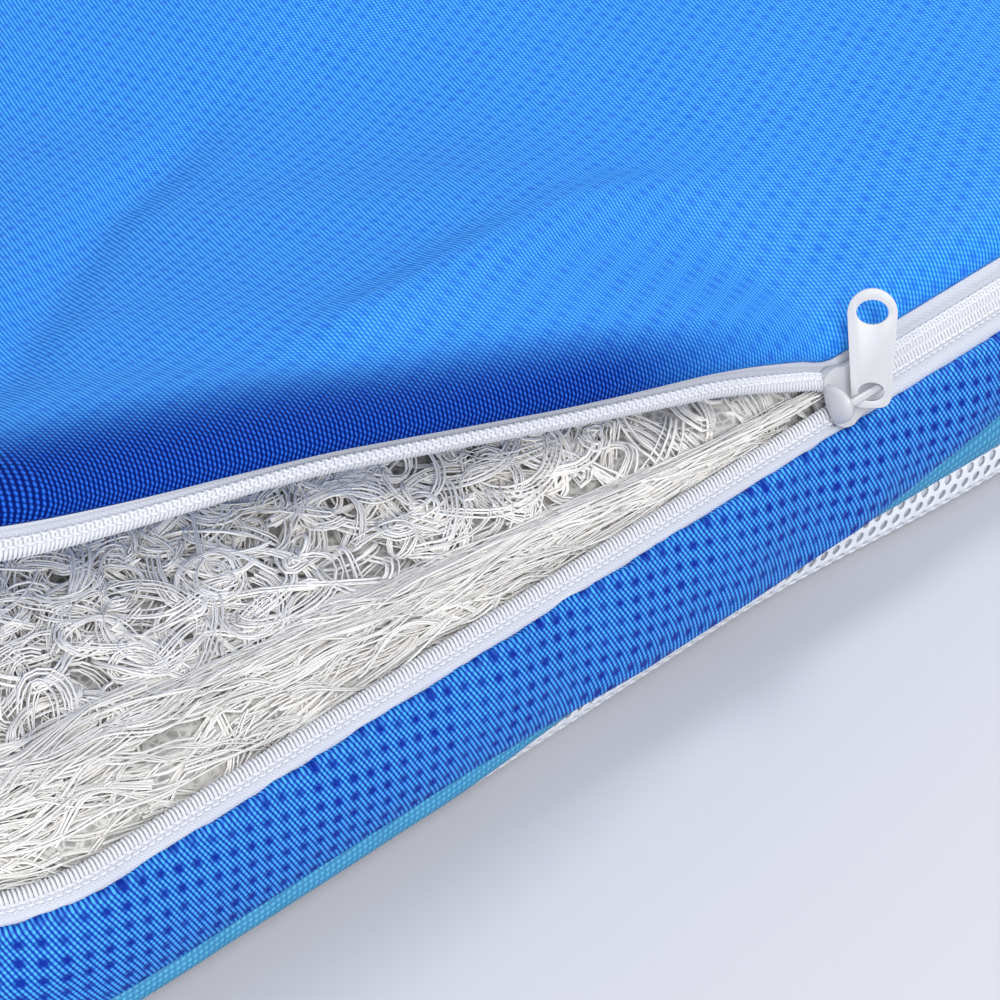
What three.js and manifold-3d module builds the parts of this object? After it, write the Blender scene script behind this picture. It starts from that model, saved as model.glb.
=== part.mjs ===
// A cooling mat: a crowned mat of looped air fibre in a zipped cover, with one corner of the cover lifted.
// Millimetres, +Z up, the origin on the floor under the middle of the mat, the zipped long side facing -Y.
import * as THREE from 'three';
import Module from 'manifold-3d';
import { mergeVertices } from 'three/addons/utils/BufferGeometryUtils.js';

const wasm = await Module();
wasm.setup();

// The mat in plan. The zip runs from its closed end on the front side round the left front corner.
const matLength = 500;
const matWidth = 350;
const cornerRadius = 40;
const zipClosedEndX = 80;
const sliderX = -40;
const zipOpenEndFromFront = 160;

// Cloth and clearances.
const fabricThickness = 1.6;
const seamGap = 0.3;
const hingeGap = 1;

// The heights of the side, from the floor up.
const meshThickness = 4;
const meshSkirtHeight = 10;
const meshEdgeRise = 4.5;
const bindingHeight = 4;
const bindingProud = 0.8;
const zipCentreHeight = 43.9;
const shoulderHeight = 56.2;
const crownHeight = 59.5;

// How far the side stands out or draws in from the seam line, which is the outline that everything follows.
const sideBulge = 3;
const meshTuck = 9;
const zipInset = 2.7;
const zipLean = THREE.MathUtils.degToRad(25);
const shoulderInset = 16;
const coreClearance = 2.4;

// The zip: a woven tape, a moulded coil of interlocking teeth, and the row of stitches that holds it.
const tapeHalfWidth = 7.3;
const tapeThickness = 0.6;
const tapeParting = 0.2;
const toothPitch = 1.6;
const toothTip = 0.45;
const toothRoot = 1;
const coilHalfWidth = 2.8;
const coilThickness = 1.6;
const stitchNear = 3;
const stitchFar = 3.4;
const stitchHeight = 0.7;
const flareWidth = 1.3;
const stopLength = 2.4;
const tapeOverrun = 5;

// The lifted corner of the cover.
const flapOpenAngle = THREE.MathUtils.degToRad(32);
const flapDome = 11;
const liftStart = 4;
const liftLength = 32;

// The slider, its crown and the pull.
const sliderNose = 7;
const sliderTail = 5;
const sliderNoseHalfWidth = 5.7;
const sliderTailHalfWidth = 4.6;
const sliderPlate = 1.2;
const sliderFlange = 0.8;
const sliderWaist = 1;
const sliderClearance = 0.4;
const sliderEdgeRadius = 1.6;
const postHalfWidth = 0.55;
const postFront = 6.4;
const postBack = 3.4;
const crownFront = 6.6;
const crownBack = 4.9;
const crownRise = 4.9;
const crownBar = 1.4;
const crownBevel = 0.35;
const crownCornerRadius = 1.5;
const lobeHalfDepth = 1.7;
const lobeHalfWidth = 3.8;
const lobeRise = 5.2;
const pullLength = 21.5;
const pullTopWidth = 9;
const pullFootWidth = 7.2;
const pullThickness = 1.3;
const pullFootHoleWidth = 4.8;
const pullFootHoleHeight = 3.4;
const pullFootWall = 1.2;
const pullFootRound = 2.4;
const pullEyeWidth = 5.8;
const pullEyeHeight = 4.5;
const pullEyeWall = 2;
const pullLean = THREE.MathUtils.degToRad(22);
const pullSwivel = THREE.MathUtils.degToRad(22);
const pullTwist = THREE.MathUtils.degToRad(-40);

// How finely curves are divided.
const cornerSteps = 6;
const sideStep = 45;
const rampSteps = 5;
const roundSteps = 10;
const cutOverrun = 20;
const mergeTolerance = 1e-4;

// The seam outline, and the zip's own axes in a section of the side: along the tapes and out of them.
const seamHalfLength = matLength / 2 - sideBulge;
const seamHalfWidth = matWidth / 2 - sideBulge;
const leanSine = Math.sin(zipLean);
const leanCosine = Math.cos(zipLean);
const zipCentre = { out: -zipInset, up: zipCentreHeight };
const bandTop = meshSkirtHeight + seamGap + bindingHeight + seamGap;
const coilFloor = seamGap;
const coilTop = coilFloor + coilThickness;

// The seam outline is walked from the zip's closed end, left along the front and on round the mat.
const straightLength = 2 * (seamHalfLength - cornerRadius);
const straightWidth = 2 * (seamHalfWidth - cornerRadius);
const cornerLength = (Math.PI / 2) * cornerRadius;
const frontLeft = zipClosedEndX + straightLength / 2;
const frontRight = straightLength - frontLeft;
const legs = [
  { length: frontLeft, from: [zipClosedEndX, -seamHalfWidth], heading: Math.PI, turn: false },
  { length: cornerLength, from: [-straightLength / 2, -seamHalfWidth], heading: Math.PI, turn: true },
  { length: straightWidth, from: [-seamHalfLength, -straightWidth / 2], heading: Math.PI / 2, turn: false },
  { length: cornerLength, from: [-seamHalfLength, straightWidth / 2], heading: Math.PI / 2, turn: true },
  { length: straightLength, from: [-straightLength / 2, seamHalfWidth], heading: 0, turn: false },
  { length: cornerLength, from: [straightLength / 2, seamHalfWidth], heading: 0, turn: true },
  { length: straightWidth, from: [seamHalfLength, straightWidth / 2], heading: -Math.PI / 2, turn: false },
  { length: cornerLength, from: [seamHalfLength, -straightWidth / 2], heading: -Math.PI / 2, turn: true },
  { length: frontRight, from: [straightLength / 2, -seamHalfWidth], heading: Math.PI, turn: false },
];
const perimeter = legs.reduce((sum, leg) => sum + leg.length, 0);
const alongSlider = zipClosedEndX - sliderX;
const alongOpenEnd = frontLeft + cornerLength + zipOpenEndFromFront - cornerRadius;

// A place on the outline: its point in plan and the direction straight out of the mat there.
function placeAt(along) {
  let rest = along;
  let index = 0;
  while (index < legs.length - 1 && rest > legs[index].length) {
    rest -= legs[index].length;
    index += 1;
  }
  const leg = legs[index];
  const angle = leg.turn ? leg.heading - rest / cornerRadius : leg.heading;
  const outward = new THREE.Vector2(Math.cos(angle + Math.PI / 2), Math.sin(angle + Math.PI / 2));
  const point = new THREE.Vector2(...leg.from);
  if (leg.turn) {
    const startOut = new THREE.Vector2(
      Math.cos(leg.heading + Math.PI / 2), Math.sin(leg.heading + Math.PI / 2));
    point.addScaledVector(startOut, -cornerRadius).addScaledVector(outward, cornerRadius);
  } else {
    point.add(new THREE.Vector2(Math.cos(leg.heading), Math.sin(leg.heading)).multiplyScalar(rest));
  }
  return { along, point, outward };
}

// The distances along the outline, between two of them, at which a sweep needs a section.
function stops(from, to, step) {
  const found = [from];
  let start = 0;
  for (const leg of legs) {
    const count = leg.turn ? cornerSteps : Math.max(1, Math.round(leg.length / step));
    for (let i = 0; i <= count; i += 1) {
      found.push(start + (leg.length * i) / count);
    }
    start += leg.length;
  }
  found.push(to);
  return tidyStops(found.filter((along) => along >= from && along <= to));
}

function tidyStops(values) {
  const sorted = [...values].sort((a, b) => a - b);
  return sorted.filter((value, i) => i === 0 || value - sorted[i - 1] > toothPitch / roundSteps);
}

function spacePoint(place, out, up) {
  return new THREE.Vector3(
    place.point.x + place.outward.x * out, place.point.y + place.outward.y * out, up);
}

// A body from points and triangles, turned right side out.
function bodyFrom(points, triangles) {
  let volume = 0;
  for (const [a, b, c] of triangles) {
    volume += points[a].dot(new THREE.Vector3().crossVectors(points[b], points[c]));
  }
  const order = volume < 0 ? triangles.map(([a, b, c]) => [a, c, b]) : triangles;
  const geometry = new THREE.BufferGeometry();
  geometry.setAttribute('position', new THREE.Float32BufferAttribute(
    points.flatMap((point) => [point.x, point.y, point.z]), 3));
  geometry.setIndex(order.flat());
  return geometry;
}

function joinLoops(first, second, size, triangles) {
  for (let i = 0; i < size; i += 1) {
    const next = (i + 1) % size;
    triangles.push([first + i, first + next, second + i]);
    triangles.push([first + next, second + next, second + i]);
  }
}

// Loops round the whole mat, closed at both ends by a middle point or joined last to first.
function loopBody(loops, firstMiddle, lastMiddle) {
  const size = loops[0].length;
  const points = loops.flat();
  const triangles = [];
  for (let i = 0; i + 1 < loops.length; i += 1) {
    joinLoops(i * size, (i + 1) * size, size, triangles);
  }
  if (firstMiddle) {
    const last = (loops.length - 1) * size;
    points.push(firstMiddle, lastMiddle);
    for (let i = 0; i < size; i += 1) {
      const next = (i + 1) % size;
      triangles.push([i, points.length - 2, next]);
      triangles.push([last + i, last + next, points.length - 1]);
    }
  } else {
    joinLoops((loops.length - 1) * size, 0, size, triangles);
  }
  return bodyFrom(points, triangles);
}

// A section swept along part of the outline, with flat ends.
function sweptBody(along, section) {
  const loops = along.map((distance) => section(distance));
  const size = loops[0].length;
  const points = loops.flat();
  const triangles = [];
  for (let i = 0; i + 1 < loops.length; i += 1) {
    joinLoops(i * size, (i + 1) * size, size, triangles);
  }
  const last = (loops.length - 1) * size;
  for (let i = 1; i + 1 < size; i += 1) {
    triangles.push([0, i + 1, i]);
    triangles.push([last, last + i, last + i + 1]);
  }
  return bodyFrom(points, triangles);
}

// Rows of points that run side by side at different spacings, closed into one long body.
function rowBody(rows) {
  const starts = [];
  const points = [];
  for (const row of rows) {
    starts.push(points.length);
    points.push(...row.map((entry) => entry.point));
  }
  const triangles = [];
  rows.forEach((row, r) => {
    const other = rows[(r + 1) % rows.length];
    const otherStart = starts[(r + 1) % rows.length];
    let i = 0;
    let j = 0;
    while (i + 1 < row.length || j + 1 < other.length) {
      const ahead = j + 1 === other.length
        || (i + 1 < row.length && row[i + 1].along <= other[j + 1].along);
      if (ahead) {
        triangles.push([starts[r] + i, starts[r] + i + 1, otherStart + j]);
        i += 1;
      } else {
        triangles.push([starts[r] + i, otherStart + j + 1, otherStart + j]);
        j += 1;
      }
    }
  });
  for (let r = 1; r + 1 < rows.length; r += 1) {
    triangles.push([starts[0], starts[r], starts[r + 1]]);
    triangles.push([
      starts[0] + rows[0].length - 1, starts[r + 1] + rows[r + 1].length - 1,
      starts[r] + rows[r].length - 1]);
  }
  return bodyFrom(points, triangles);
}

// Joining and cutting.
function solidOf(geometry) {
  const plain = geometry.clone();
  plain.deleteAttribute('normal');
  plain.deleteAttribute('uv');
  const merged = mergeVertices(plain, mergeTolerance);
  return new wasm.Manifold(new wasm.Mesh({
    numProp: 3,
    vertProperties: new Float32Array(merged.attributes.position.array),
    triVerts: new Uint32Array(merged.index.array),
  }));
}

function geometryOf(solid) {
  const mesh = solid.getMesh();
  const geometry = new THREE.BufferGeometry();
  geometry.setAttribute('position', new THREE.Float32BufferAttribute(mesh.vertProperties, 3));
  geometry.setIndex([...mesh.triVerts]);
  return geometry;
}

function smooth(share) {
  const held = THREE.MathUtils.clamp(share, 0, 1);
  return held * held * (3 - 2 * held);
}

// Loops for closed forms: a profile of [out, up] pairs at the side, and a crowned or flat middle.
const ringStops = stops(0, perimeter, sideStep).slice(0, -1);
const ringPlaces = ringStops.map(placeAt);
const middleShares = [0.92, 0.82, 0.68, 0.5, 0.27];

function sideLoop([out, up]) {
  return ringPlaces.map((place) => spacePoint(place, out, up));
}

function middleLoops(edge, centreUp, shares) {
  const rim = sideLoop(edge);
  return shares.map((share) => rim.map((point) => new THREE.Vector3(
    point.x * share, point.y * share, THREE.MathUtils.lerp(centreUp, edge[1], share * share))));
}

// A place in the zip's own axes, as [out, up] in the section of the side.
function zipSection(across, proud) {
  return [
    zipCentre.out - across * leanSine + proud * leanCosine,
    zipCentre.up + across * leanCosine + proud * leanSine,
  ];
}

// The cover's edges beside the tapes.
const bandEdge = zipSection(-tapeHalfWidth - seamGap, 0);
const rimEdge = zipSection(tapeHalfWidth + seamGap, 0);

// The core of looped fibre, crowned, with drawn-in sides and a sloped shoulder behind the zip.
function coreBody() {
  const inside = -meshThickness - seamGap;
  const behindZip = -(sliderPlate + sliderClearance + tapeThickness + seamGap);
  const side = [
    [-meshTuck, meshThickness + seamGap],
    [inside, meshEdgeRise + meshThickness / 2],
    [inside, meshSkirtHeight],
    [-coreClearance, bandTop],
    [-coreClearance / 2 - fabricThickness / 2, (bandTop + bandEdge[1]) / 2],
    zipSection(-tapeHalfWidth, behindZip - seamGap),
    zipSection(0, behindZip - seamGap),
    zipSection(tapeHalfWidth, behindZip - seamGap),
    [-shoulderInset, shoulderHeight - fabricThickness - seamGap],
  ];
  const flatLoops = middleLoops(side[0], side[0][1], [middleShares[3]]);
  const top = crownHeight - fabricThickness - seamGap;
  const loops = [
    ...flatLoops, ...side.map(sideLoop), ...middleLoops(side[side.length - 1], top, middleShares)];
  return loopBody(
    loops, new THREE.Vector3(0, 0, side[0][1]), new THREE.Vector3(0, 0, top));
}

// The spacer mesh under the mat, a shallow tray whose skirt turns up round the core.
function meshTray() {
  const outer = [
    [-meshTuck, 0], [-meshThickness, meshThickness / 4], [-meshThickness / 4, meshEdgeRise / 2],
    [0, meshEdgeRise], [bindingProud / 2, meshSkirtHeight]];
  const inner = [
    [-meshThickness, meshSkirtHeight], [-meshThickness, meshEdgeRise + meshThickness / 2],
    [-meshTuck, meshThickness]];
  const loops = [
    ...middleLoops(outer[0], 0, [middleShares[3]]), ...outer.map(sideLoop), ...inner.map(sideLoop),
    ...middleLoops(inner[2], meshThickness, [middleShares[3]])];
  return loopBody(loops, new THREE.Vector3(0, 0, 0), new THREE.Vector3(0, 0, meshThickness));
}

// The bright binding between the mesh and the blue side.
function bindingBody() {
  const low = meshSkirtHeight + seamGap;
  const high = low + bindingHeight;
  const inner = -fabricThickness;
  const middle = (low + high) / 2;
  const profile = [
    [inner, low], [bindingProud, low], [2 * bindingProud, middle], [bindingProud, high], [inner, high]];
  return loopBody(profile.map(sideLoop));
}

// The outer line of the blue side, from the binding up to the zip's lower edge.
const bandProfileShares = [[0, 0.35], [0.28, 0.85], [0.52, 1], [0.78, 0.75]];

function bandOuter() {
  const rise = bandEdge[1] - bandTop;
  return bandProfileShares.map(([upShare, outShare]) => [sideBulge * outShare, bandTop + rise * upShare]);
}

// The cloth's section from its outer line and how far its top edge lies across the zip's axes.
function clothSection(outer, edgeAcross) {
  const inner = outer.map(([out, up]) => [out - fabricThickness, up]).reverse();
  return [...outer, zipSection(edgeAcross, 0), zipSection(edgeAcross, -fabricThickness), ...inner];
}

function bandBody(from, to, section) {
  const along = stops(from, to, perimeter);
  return sweptBody(along, (distance) => {
    const place = placeAt(distance % perimeter);
    return section.map(([out, up]) => spacePoint(place, out, up));
  });
}

// The full top cover, whose rim turns down to the zip. The lifted corner has a dome of its own.
function topShell(dome) {
  const shoulder = [-shoulderInset, shoulderHeight];
  const bend = [0, 1].map((i) => (rimEdge[i] + shoulder[i]) / 2 + fabricThickness);
  const under = ([out, up]) => [out - fabricThickness * leanCosine, up - fabricThickness * leanSine];
  const low = [shoulder[0], shoulder[1] - fabricThickness];
  const outside = [
    ...middleLoops(shoulder, crownHeight, middleShares).reverse(),
    sideLoop(shoulder), sideLoop(bend), sideLoop(rimEdge)];
  const inside = [
    sideLoop(under(rimEdge)), sideLoop([under(bend)[0], under(bend)[1] - fabricThickness / 2]),
    sideLoop(low), ...middleLoops(low, crownHeight - fabricThickness, middleShares)];
  const top = new THREE.Vector3(0, 0, crownHeight);
  const bottom = new THREE.Vector3(0, 0, crownHeight - fabricThickness);
  for (const point of [...outside.flat(), ...inside.flat(), top, bottom]) {
    point.z += dome(point);
  }
  return loopBody([...outside, ...inside], top, bottom);
}

// The crease across the lifted corner, from the slider to the zip's open end.
const creaseFront = new THREE.Vector2(sliderX, -seamHalfWidth);
const creaseLeft = new THREE.Vector2(-seamHalfLength, -seamHalfWidth + zipOpenEndFromFront);
const creaseRun = creaseLeft.clone().sub(creaseFront).normalize();
const towardCorner = new THREE.Vector2(creaseRun.y, -creaseRun.x).negate();
const matCorner = new THREE.Vector2(-seamHalfLength, -seamHalfWidth);
const frontLegLength = creaseFront.distanceTo(matCorner);
const leftLegLength = creaseLeft.distanceTo(matCorner);
const creaseReach = matCorner.clone().sub(creaseFront).dot(towardCorner);
const creaseHeight = crownHeight;

// The dome is highest in the middle of the corner, where each of the three shares is a third.
function cornerDome(point) {
  const fromCrease = new THREE.Vector2(point.x, point.y).sub(creaseFront).dot(towardCorner) / creaseReach;
  const fromFront = (point.y + seamHalfWidth) / leftLegLength;
  const fromLeft = (point.x + seamHalfLength) / frontLegLength;
  if (fromCrease <= 0 || fromFront <= 0 || fromLeft <= 0) {
    return 0;
  }
  return flapDome * (3 * fromCrease) * (3 * fromFront) * (3 * fromLeft);
}

// A prism over the corner of the mat, its long face set off from the crease.
function cornerPrism(offset) {
  const reach = matLength;
  const a = creaseFront.clone().addScaledVector(creaseRun, -reach).addScaledVector(towardCorner, offset);
  const b = creaseFront.clone().addScaledVector(creaseRun, reach).addScaledVector(towardCorner, offset);
  const outline = new THREE.Shape([
    a, b, b.clone().addScaledVector(towardCorner, reach), a.clone().addScaledVector(towardCorner, reach)]);
  const geometry = new THREE.ExtrudeGeometry(
    outline, { depth: crownHeight + cutOverrun + flapDome, bevelEnabled: false });
  return solidOf(geometry);
}

const flat = () => 0;
const topPanelGeometry = geometryOf(solidOf(topShell(flat)).subtract(cornerPrism(-hingeGap / 2)));
const flapGeometry = geometryOf(solidOf(topShell(cornerDome)).intersect(cornerPrism(hingeGap / 2)));

// The crease as an axis in space. The lifted corner turns up about it.
const creasePoint = new THREE.Vector3(creaseFront.x, creaseFront.y, creaseHeight);
const creaseAxis = new THREE.Vector3(creaseRun.x, creaseRun.y, 0);

function lifted(point, angle) {
  return point.clone().sub(creasePoint).applyAxisAngle(creaseAxis, angle).add(creasePoint);
}

// The zip halves. Each keeps its place on the outline, parts round the slider's post, and the upper one
// rises with the lifted corner.
const lower = { side: -1, rises: false };
const upper = { side: 1, rises: true };

function zipPoint(half, along, across, proud, parts) {
  const place = placeAt(along);
  const fromWaist = along - alongSlider + sliderWaist;
  const flare = parts ? flareWidth * smooth(fromWaist / (postBack + sliderWaist)) : 0;
  const [out, up] = zipSection(half.side * (across + flare), proud);
  const point = spacePoint(place, out, up);
  if (!half.rises) {
    return point;
  }
  return lifted(point, flapOpenAngle * smooth((along - alongSlider - liftStart) / liftLength));
}

function zipStops(from, to) {
  const found = stops(from, to, perimeter);
  for (let i = 0; i <= rampSteps; i += 1) {
    found.push(alongSlider - sliderWaist + ((postBack + sliderWaist) * i) / rampSteps);
    found.push(alongSlider + liftStart + (liftLength * i) / rampSteps);
  }
  return tidyStops(found.filter((along) => along >= from && along <= to));
}

function tapeBody(half, from, to) {
  return sweptBody(zipStops(from, to), (along) => [
    zipPoint(half, along, tapeHalfWidth, 0, false),
    zipPoint(half, along, tapeParting, 0, true),
    zipPoint(half, along, tapeParting, -tapeThickness, true),
    zipPoint(half, along, tapeHalfWidth, -tapeThickness, false),
  ]);
}

function stitchBody(half, from, to) {
  const middle = (stitchNear + stitchFar) / 2;
  return sweptBody(zipStops(from, to), (along) => [
    zipPoint(half, along, stitchNear, coilFloor, true),
    zipPoint(half, along, middle, coilFloor + stitchHeight, true),
    zipPoint(half, along, stitchFar, coilFloor, true),
  ]);
}

// The coil's teeth: one head each pitch, the two halves half a pitch apart so that they interlock.
function coilBody(half, from, to) {
  const count = Math.floor((to - from) / toothPitch);
  const phase = half.side > 0 ? 0 : 1;
  const heads = [];
  for (let i = 0; i <= 2 * count; i += 1) {
    heads.push({ along: from + (i * toothPitch) / 2, across: i % 2 === phase ? -toothTip : toothRoot });
  }
  const end = heads[heads.length - 1].along;
  const head = (proud) => heads.map(({ along, across }) => (
    { along, point: zipPoint(half, along, across, proud, true) }));
  const back = (proud) => zipStops(from, end).map((along) => (
    { along, point: zipPoint(half, along, coilHalfWidth, proud, true) }));
  return rowBody([head(coilTop), head(coilFloor), back(coilFloor), back(coilTop)]);
}

// A crimped stop that straddles one half or both at a chain end.
function endStop(half, along, from, to) {
  return sweptBody([along, along + stopLength], (distance) => [
    zipPoint(half, distance, from, coilFloor, true),
    zipPoint(half, distance, to, coilFloor, true),
    zipPoint(half, distance, to, coilTop, true),
    zipPoint(half, distance, from, coilTop, true),
  ]);
}

// The slider: two shield-shaped plates with side flanges, held together by the post that parts the teeth.
// Its own axes are x along the zip to the closed end, y across the tapes, z out of them.
function shieldOutline(inset) {
  const nose = -sliderNose + inset;
  const tail = sliderTail - inset;
  const wide = sliderNoseHalfWidth - inset;
  const narrow = sliderTailHalfWidth - inset;
  const shape = new THREE.Shape();
  shape.moveTo(tail - sliderEdgeRadius, -narrow);
  shape.quadraticCurveTo(tail, -narrow, tail, -narrow + sliderEdgeRadius);
  shape.lineTo(tail, narrow - sliderEdgeRadius);
  shape.quadraticCurveTo(tail, narrow, tail - sliderEdgeRadius, narrow);
  shape.lineTo(sliderWaist, narrow);
  shape.quadraticCurveTo(-sliderWaist, narrow, -postBack, wide);
  shape.quadraticCurveTo(nose, wide, nose, wide / 2);
  shape.lineTo(nose, -wide / 2);
  shape.quadraticCurveTo(nose, -wide, -postBack, -wide);
  shape.quadraticCurveTo(-sliderWaist, -narrow, sliderWaist, -narrow);
  return shape;
}

function slab(shape, from, to) {
  const geometry = new THREE.ExtrudeGeometry(
    shape, { depth: to - from, bevelEnabled: false, curveSegments: rampSteps });
  return geometry.translate(0, 0, from);
}

const plateUnder = -tapeThickness - sliderClearance;
const plateOver = coilTop + sliderClearance;

function sliderBody() {
  const low = solidOf(slab(shieldOutline(0), plateUnder - sliderPlate, plateUnder));
  const high = solidOf(slab(shieldOutline(0), plateOver, plateOver + sliderPlate));
  const ring = solidOf(slab(shieldOutline(0), sliderClearance, plateOver + sliderPlate / 2));
  const hollow = new THREE.Shape([
    new THREE.Vector2(-sliderNose - cutOverrun, -sliderNoseHalfWidth + sliderFlange),
    new THREE.Vector2(-postBack, -sliderNoseHalfWidth + sliderFlange),
    new THREE.Vector2(sliderWaist, -sliderTailHalfWidth + sliderFlange),
    new THREE.Vector2(sliderTail + cutOverrun, -sliderTailHalfWidth + sliderFlange),
    new THREE.Vector2(sliderTail + cutOverrun, sliderTailHalfWidth - sliderFlange),
    new THREE.Vector2(sliderWaist, sliderTailHalfWidth - sliderFlange),
    new THREE.Vector2(-postBack, sliderNoseHalfWidth - sliderFlange),
    new THREE.Vector2(-sliderNose - cutOverrun, sliderNoseHalfWidth - sliderFlange),
  ]);
  const flanges = ring.subtract(solidOf(slab(hollow, 0, plateOver)));
  const middle = (postFront + postBack) / 2;
  const diamond = new THREE.Shape([
    new THREE.Vector2(-postFront, 0), new THREE.Vector2(-middle, -postHalfWidth),
    new THREE.Vector2(-postBack, 0), new THREE.Vector2(-middle, postHalfWidth)]);
  const post = solidOf(slab(diamond, plateUnder - sliderPlate / 2, plateOver + sliderPlate / 2));
  return geometryOf(low.add(high).add(flanges).add(post));
}

// The crown: an arch along the slider, under which the pull's foot hangs. It rises from a round lobe that
// stands on the nose.
const crownFoot = plateOver + sliderPlate + seamGap;
const crownBarHeight = crownFoot + crownRise - crownBar / 2;
const crownMiddle = (crownBack - crownFront) / 2;

const crownHalf = (crownFront + crownBack) / 2;

function crownArch() {
  const half = crownHalf;
  const core = crownBar - 2 * crownBevel;
  const outer = half - crownBevel;
  const top = crownRise - crownBevel;
  const round = crownCornerRadius;
  const arch = new THREE.Shape();
  arch.moveTo(-outer, crownBevel);
  arch.lineTo(-outer + core, crownBevel);
  arch.lineTo(-outer + core, top - round);
  arch.quadraticCurveTo(-outer + core, top - core, -outer + round, top - core);
  arch.lineTo(outer - round, top - core);
  arch.quadraticCurveTo(outer - core, top - core, outer - core, top - round);
  arch.lineTo(outer - core, crownBevel);
  arch.lineTo(outer, crownBevel);
  arch.lineTo(outer, top - round);
  arch.quadraticCurveTo(outer, top, outer - round, top);
  arch.lineTo(-outer + round, top);
  arch.quadraticCurveTo(-outer, top, -outer, top - round);
  const geometry = new THREE.ExtrudeGeometry(arch, {
    depth: core, bevelThickness: crownBevel, bevelSize: crownBevel, bevelSegments: 1,
    curveSegments: rampSteps });
  geometry.translate(0, 0, -core / 2);
  geometry.rotateX(Math.PI / 2);
  return geometry;
}

function crownLobe() {
  const ball = new THREE.SphereGeometry(1, 2 * roundSteps, roundSteps);
  ball.scale(lobeHalfDepth, lobeHalfWidth, lobeRise);
  return solidOf(ball).trimByPlane([0, 0, 1], 0).translate([-crownHalf, 0, 0]);
}

function crownBody() {
  return geometryOf(solidOf(crownArch()).add(crownLobe()));
}

// The pull: a flat tab, wider at its round top, with an eye for a finger nail and a foot hole on the crown.
// Its own axes are x across, z along, y through its thickness, with the crown's bar at the origin.
const pullFootEnd = -pullFootHoleHeight / 2 - pullFootWall;

function ovalHole(centre, width, height) {
  const hole = new THREE.Path();
  hole.absellipse(0, centre, width / 2, height / 2, 0, 2 * Math.PI, false, 0);
  return hole;
}

function pullBody() {
  const foot = pullFootWidth / 2;
  const head = pullTopWidth / 2;
  const top = pullFootEnd + pullLength;
  const shape = new THREE.Shape();
  shape.moveTo(-foot + pullFootRound, pullFootEnd);
  shape.lineTo(foot - pullFootRound, pullFootEnd);
  shape.quadraticCurveTo(foot, pullFootEnd, foot, pullFootEnd + pullFootRound);
  shape.lineTo(head, top - head);
  shape.absarc(0, top - head, head, 0, Math.PI, false);
  shape.lineTo(-foot, pullFootEnd + pullFootRound);
  shape.quadraticCurveTo(-foot, pullFootEnd, -foot + pullFootRound, pullFootEnd);
  shape.holes.push(ovalHole(0, pullFootHoleWidth, pullFootHoleHeight));
  shape.holes.push(ovalHole(top - pullEyeWall - pullEyeHeight / 2, pullEyeWidth, pullEyeHeight));
  const geometry = new THREE.ExtrudeGeometry(
    shape, { depth: pullThickness, bevelEnabled: false, curveSegments: roundSteps });
  geometry.translate(0, 0, -pullThickness / 2);
  geometry.rotateX(Math.PI / 2);
  return geometry;
}

// Finishes.
const iceSilk = { color: 0x2f86f5, roughness: 0.55, metalness: 0 };
const turquoise = { color: 0x46a5d2, roughness: 0.7, metalness: 0 };
const whiteMesh = { color: 0xf2f4f8, roughness: 0.8, metalness: 0 };
const fibre = { color: 0xe6e8ea, roughness: 0.35, metalness: 0 };
const whiteTape = { color: 0xf0f4fb, roughness: 0.85, metalness: 0 };
const nylon = { color: 0xf6f8fc, roughness: 0.45, metalness: 0 };
const enamel = { color: 0xf7f9fc, roughness: 0.3, metalness: 0.1 };

const part = new THREE.Group();

function addPiece(name, geometry, finish, parent = part) {
  const piece = new THREE.Mesh(geometry, new THREE.MeshStandardMaterial(finish));
  piece.name = name;
  parent.add(piece);
  return piece;
}

const chainEnd = alongOpenEnd - stopLength - tapeOverrun;
const plainFrom = alongOpenEnd + seamGap;
const plainTo = perimeter - tapeOverrun - seamGap;

addPiece('core_block', coreBody(), fibre);
addPiece('bottom_mesh_panel', meshTray(), whiteMesh);
addPiece('edge_binding', bindingBody(), turquoise);
const zipBandSection = clothSection(bandOuter(), -tapeHalfWidth - seamGap);
const plainBandSection = clothSection([...bandOuter(), bandEdge], tapeHalfWidth);
addPiece('zip_side_band', bandBody(0, alongOpenEnd, zipBandSection), iceSilk);
addPiece('plain_side_band', bandBody(plainFrom, plainTo, plainBandSection), iceSilk);
addPiece('top_panel', topPanelGeometry, iceSilk);

addPiece('lower_zip_tape', tapeBody(lower, 0, alongOpenEnd), whiteTape);
addPiece('lower_zip_coil', coilBody(lower, stopLength, chainEnd), nylon);
addPiece('lower_zip_stitching', stitchBody(lower, stopLength, chainEnd), whiteTape);
addPiece('upper_zip_tape_closed', tapeBody(upper, 0, alongSlider), whiteTape);
addPiece('upper_zip_coil_closed', coilBody(upper, stopLength, alongSlider), nylon);
addPiece('upper_zip_stitching_closed', stitchBody(upper, stopLength, alongSlider), whiteTape);
addPiece('upper_zip_tape_open', tapeBody(upper, alongSlider + seamGap, alongOpenEnd), whiteTape);
addPiece('upper_zip_coil_open', coilBody(upper, alongSlider + toothPitch, chainEnd), nylon);
addPiece('upper_zip_stitching_open', stitchBody(upper, alongSlider + toothPitch, chainEnd), whiteTape);
addPiece('closed_end_stop', endStop(lower, 0, -coilHalfWidth, coilHalfWidth), enamel);
addPiece('open_end_stop_lower', endStop(lower, chainEnd + seamGap, 0, coilHalfWidth), enamel);
addPiece('open_end_stop_upper', endStop(upper, chainEnd + seamGap, 0, coilHalfWidth), enamel);

// The lifted corner turns as one piece about the crease.
const flapPivot = new THREE.Group();
flapPivot.position.copy(creasePoint);
flapPivot.quaternion.setFromAxisAngle(creaseAxis, flapOpenAngle);
part.add(flapPivot);
const flapPanel = addPiece('corner_flap_panel', flapGeometry, iceSilk, flapPivot);
flapPanel.position.copy(creasePoint).negate();

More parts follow.
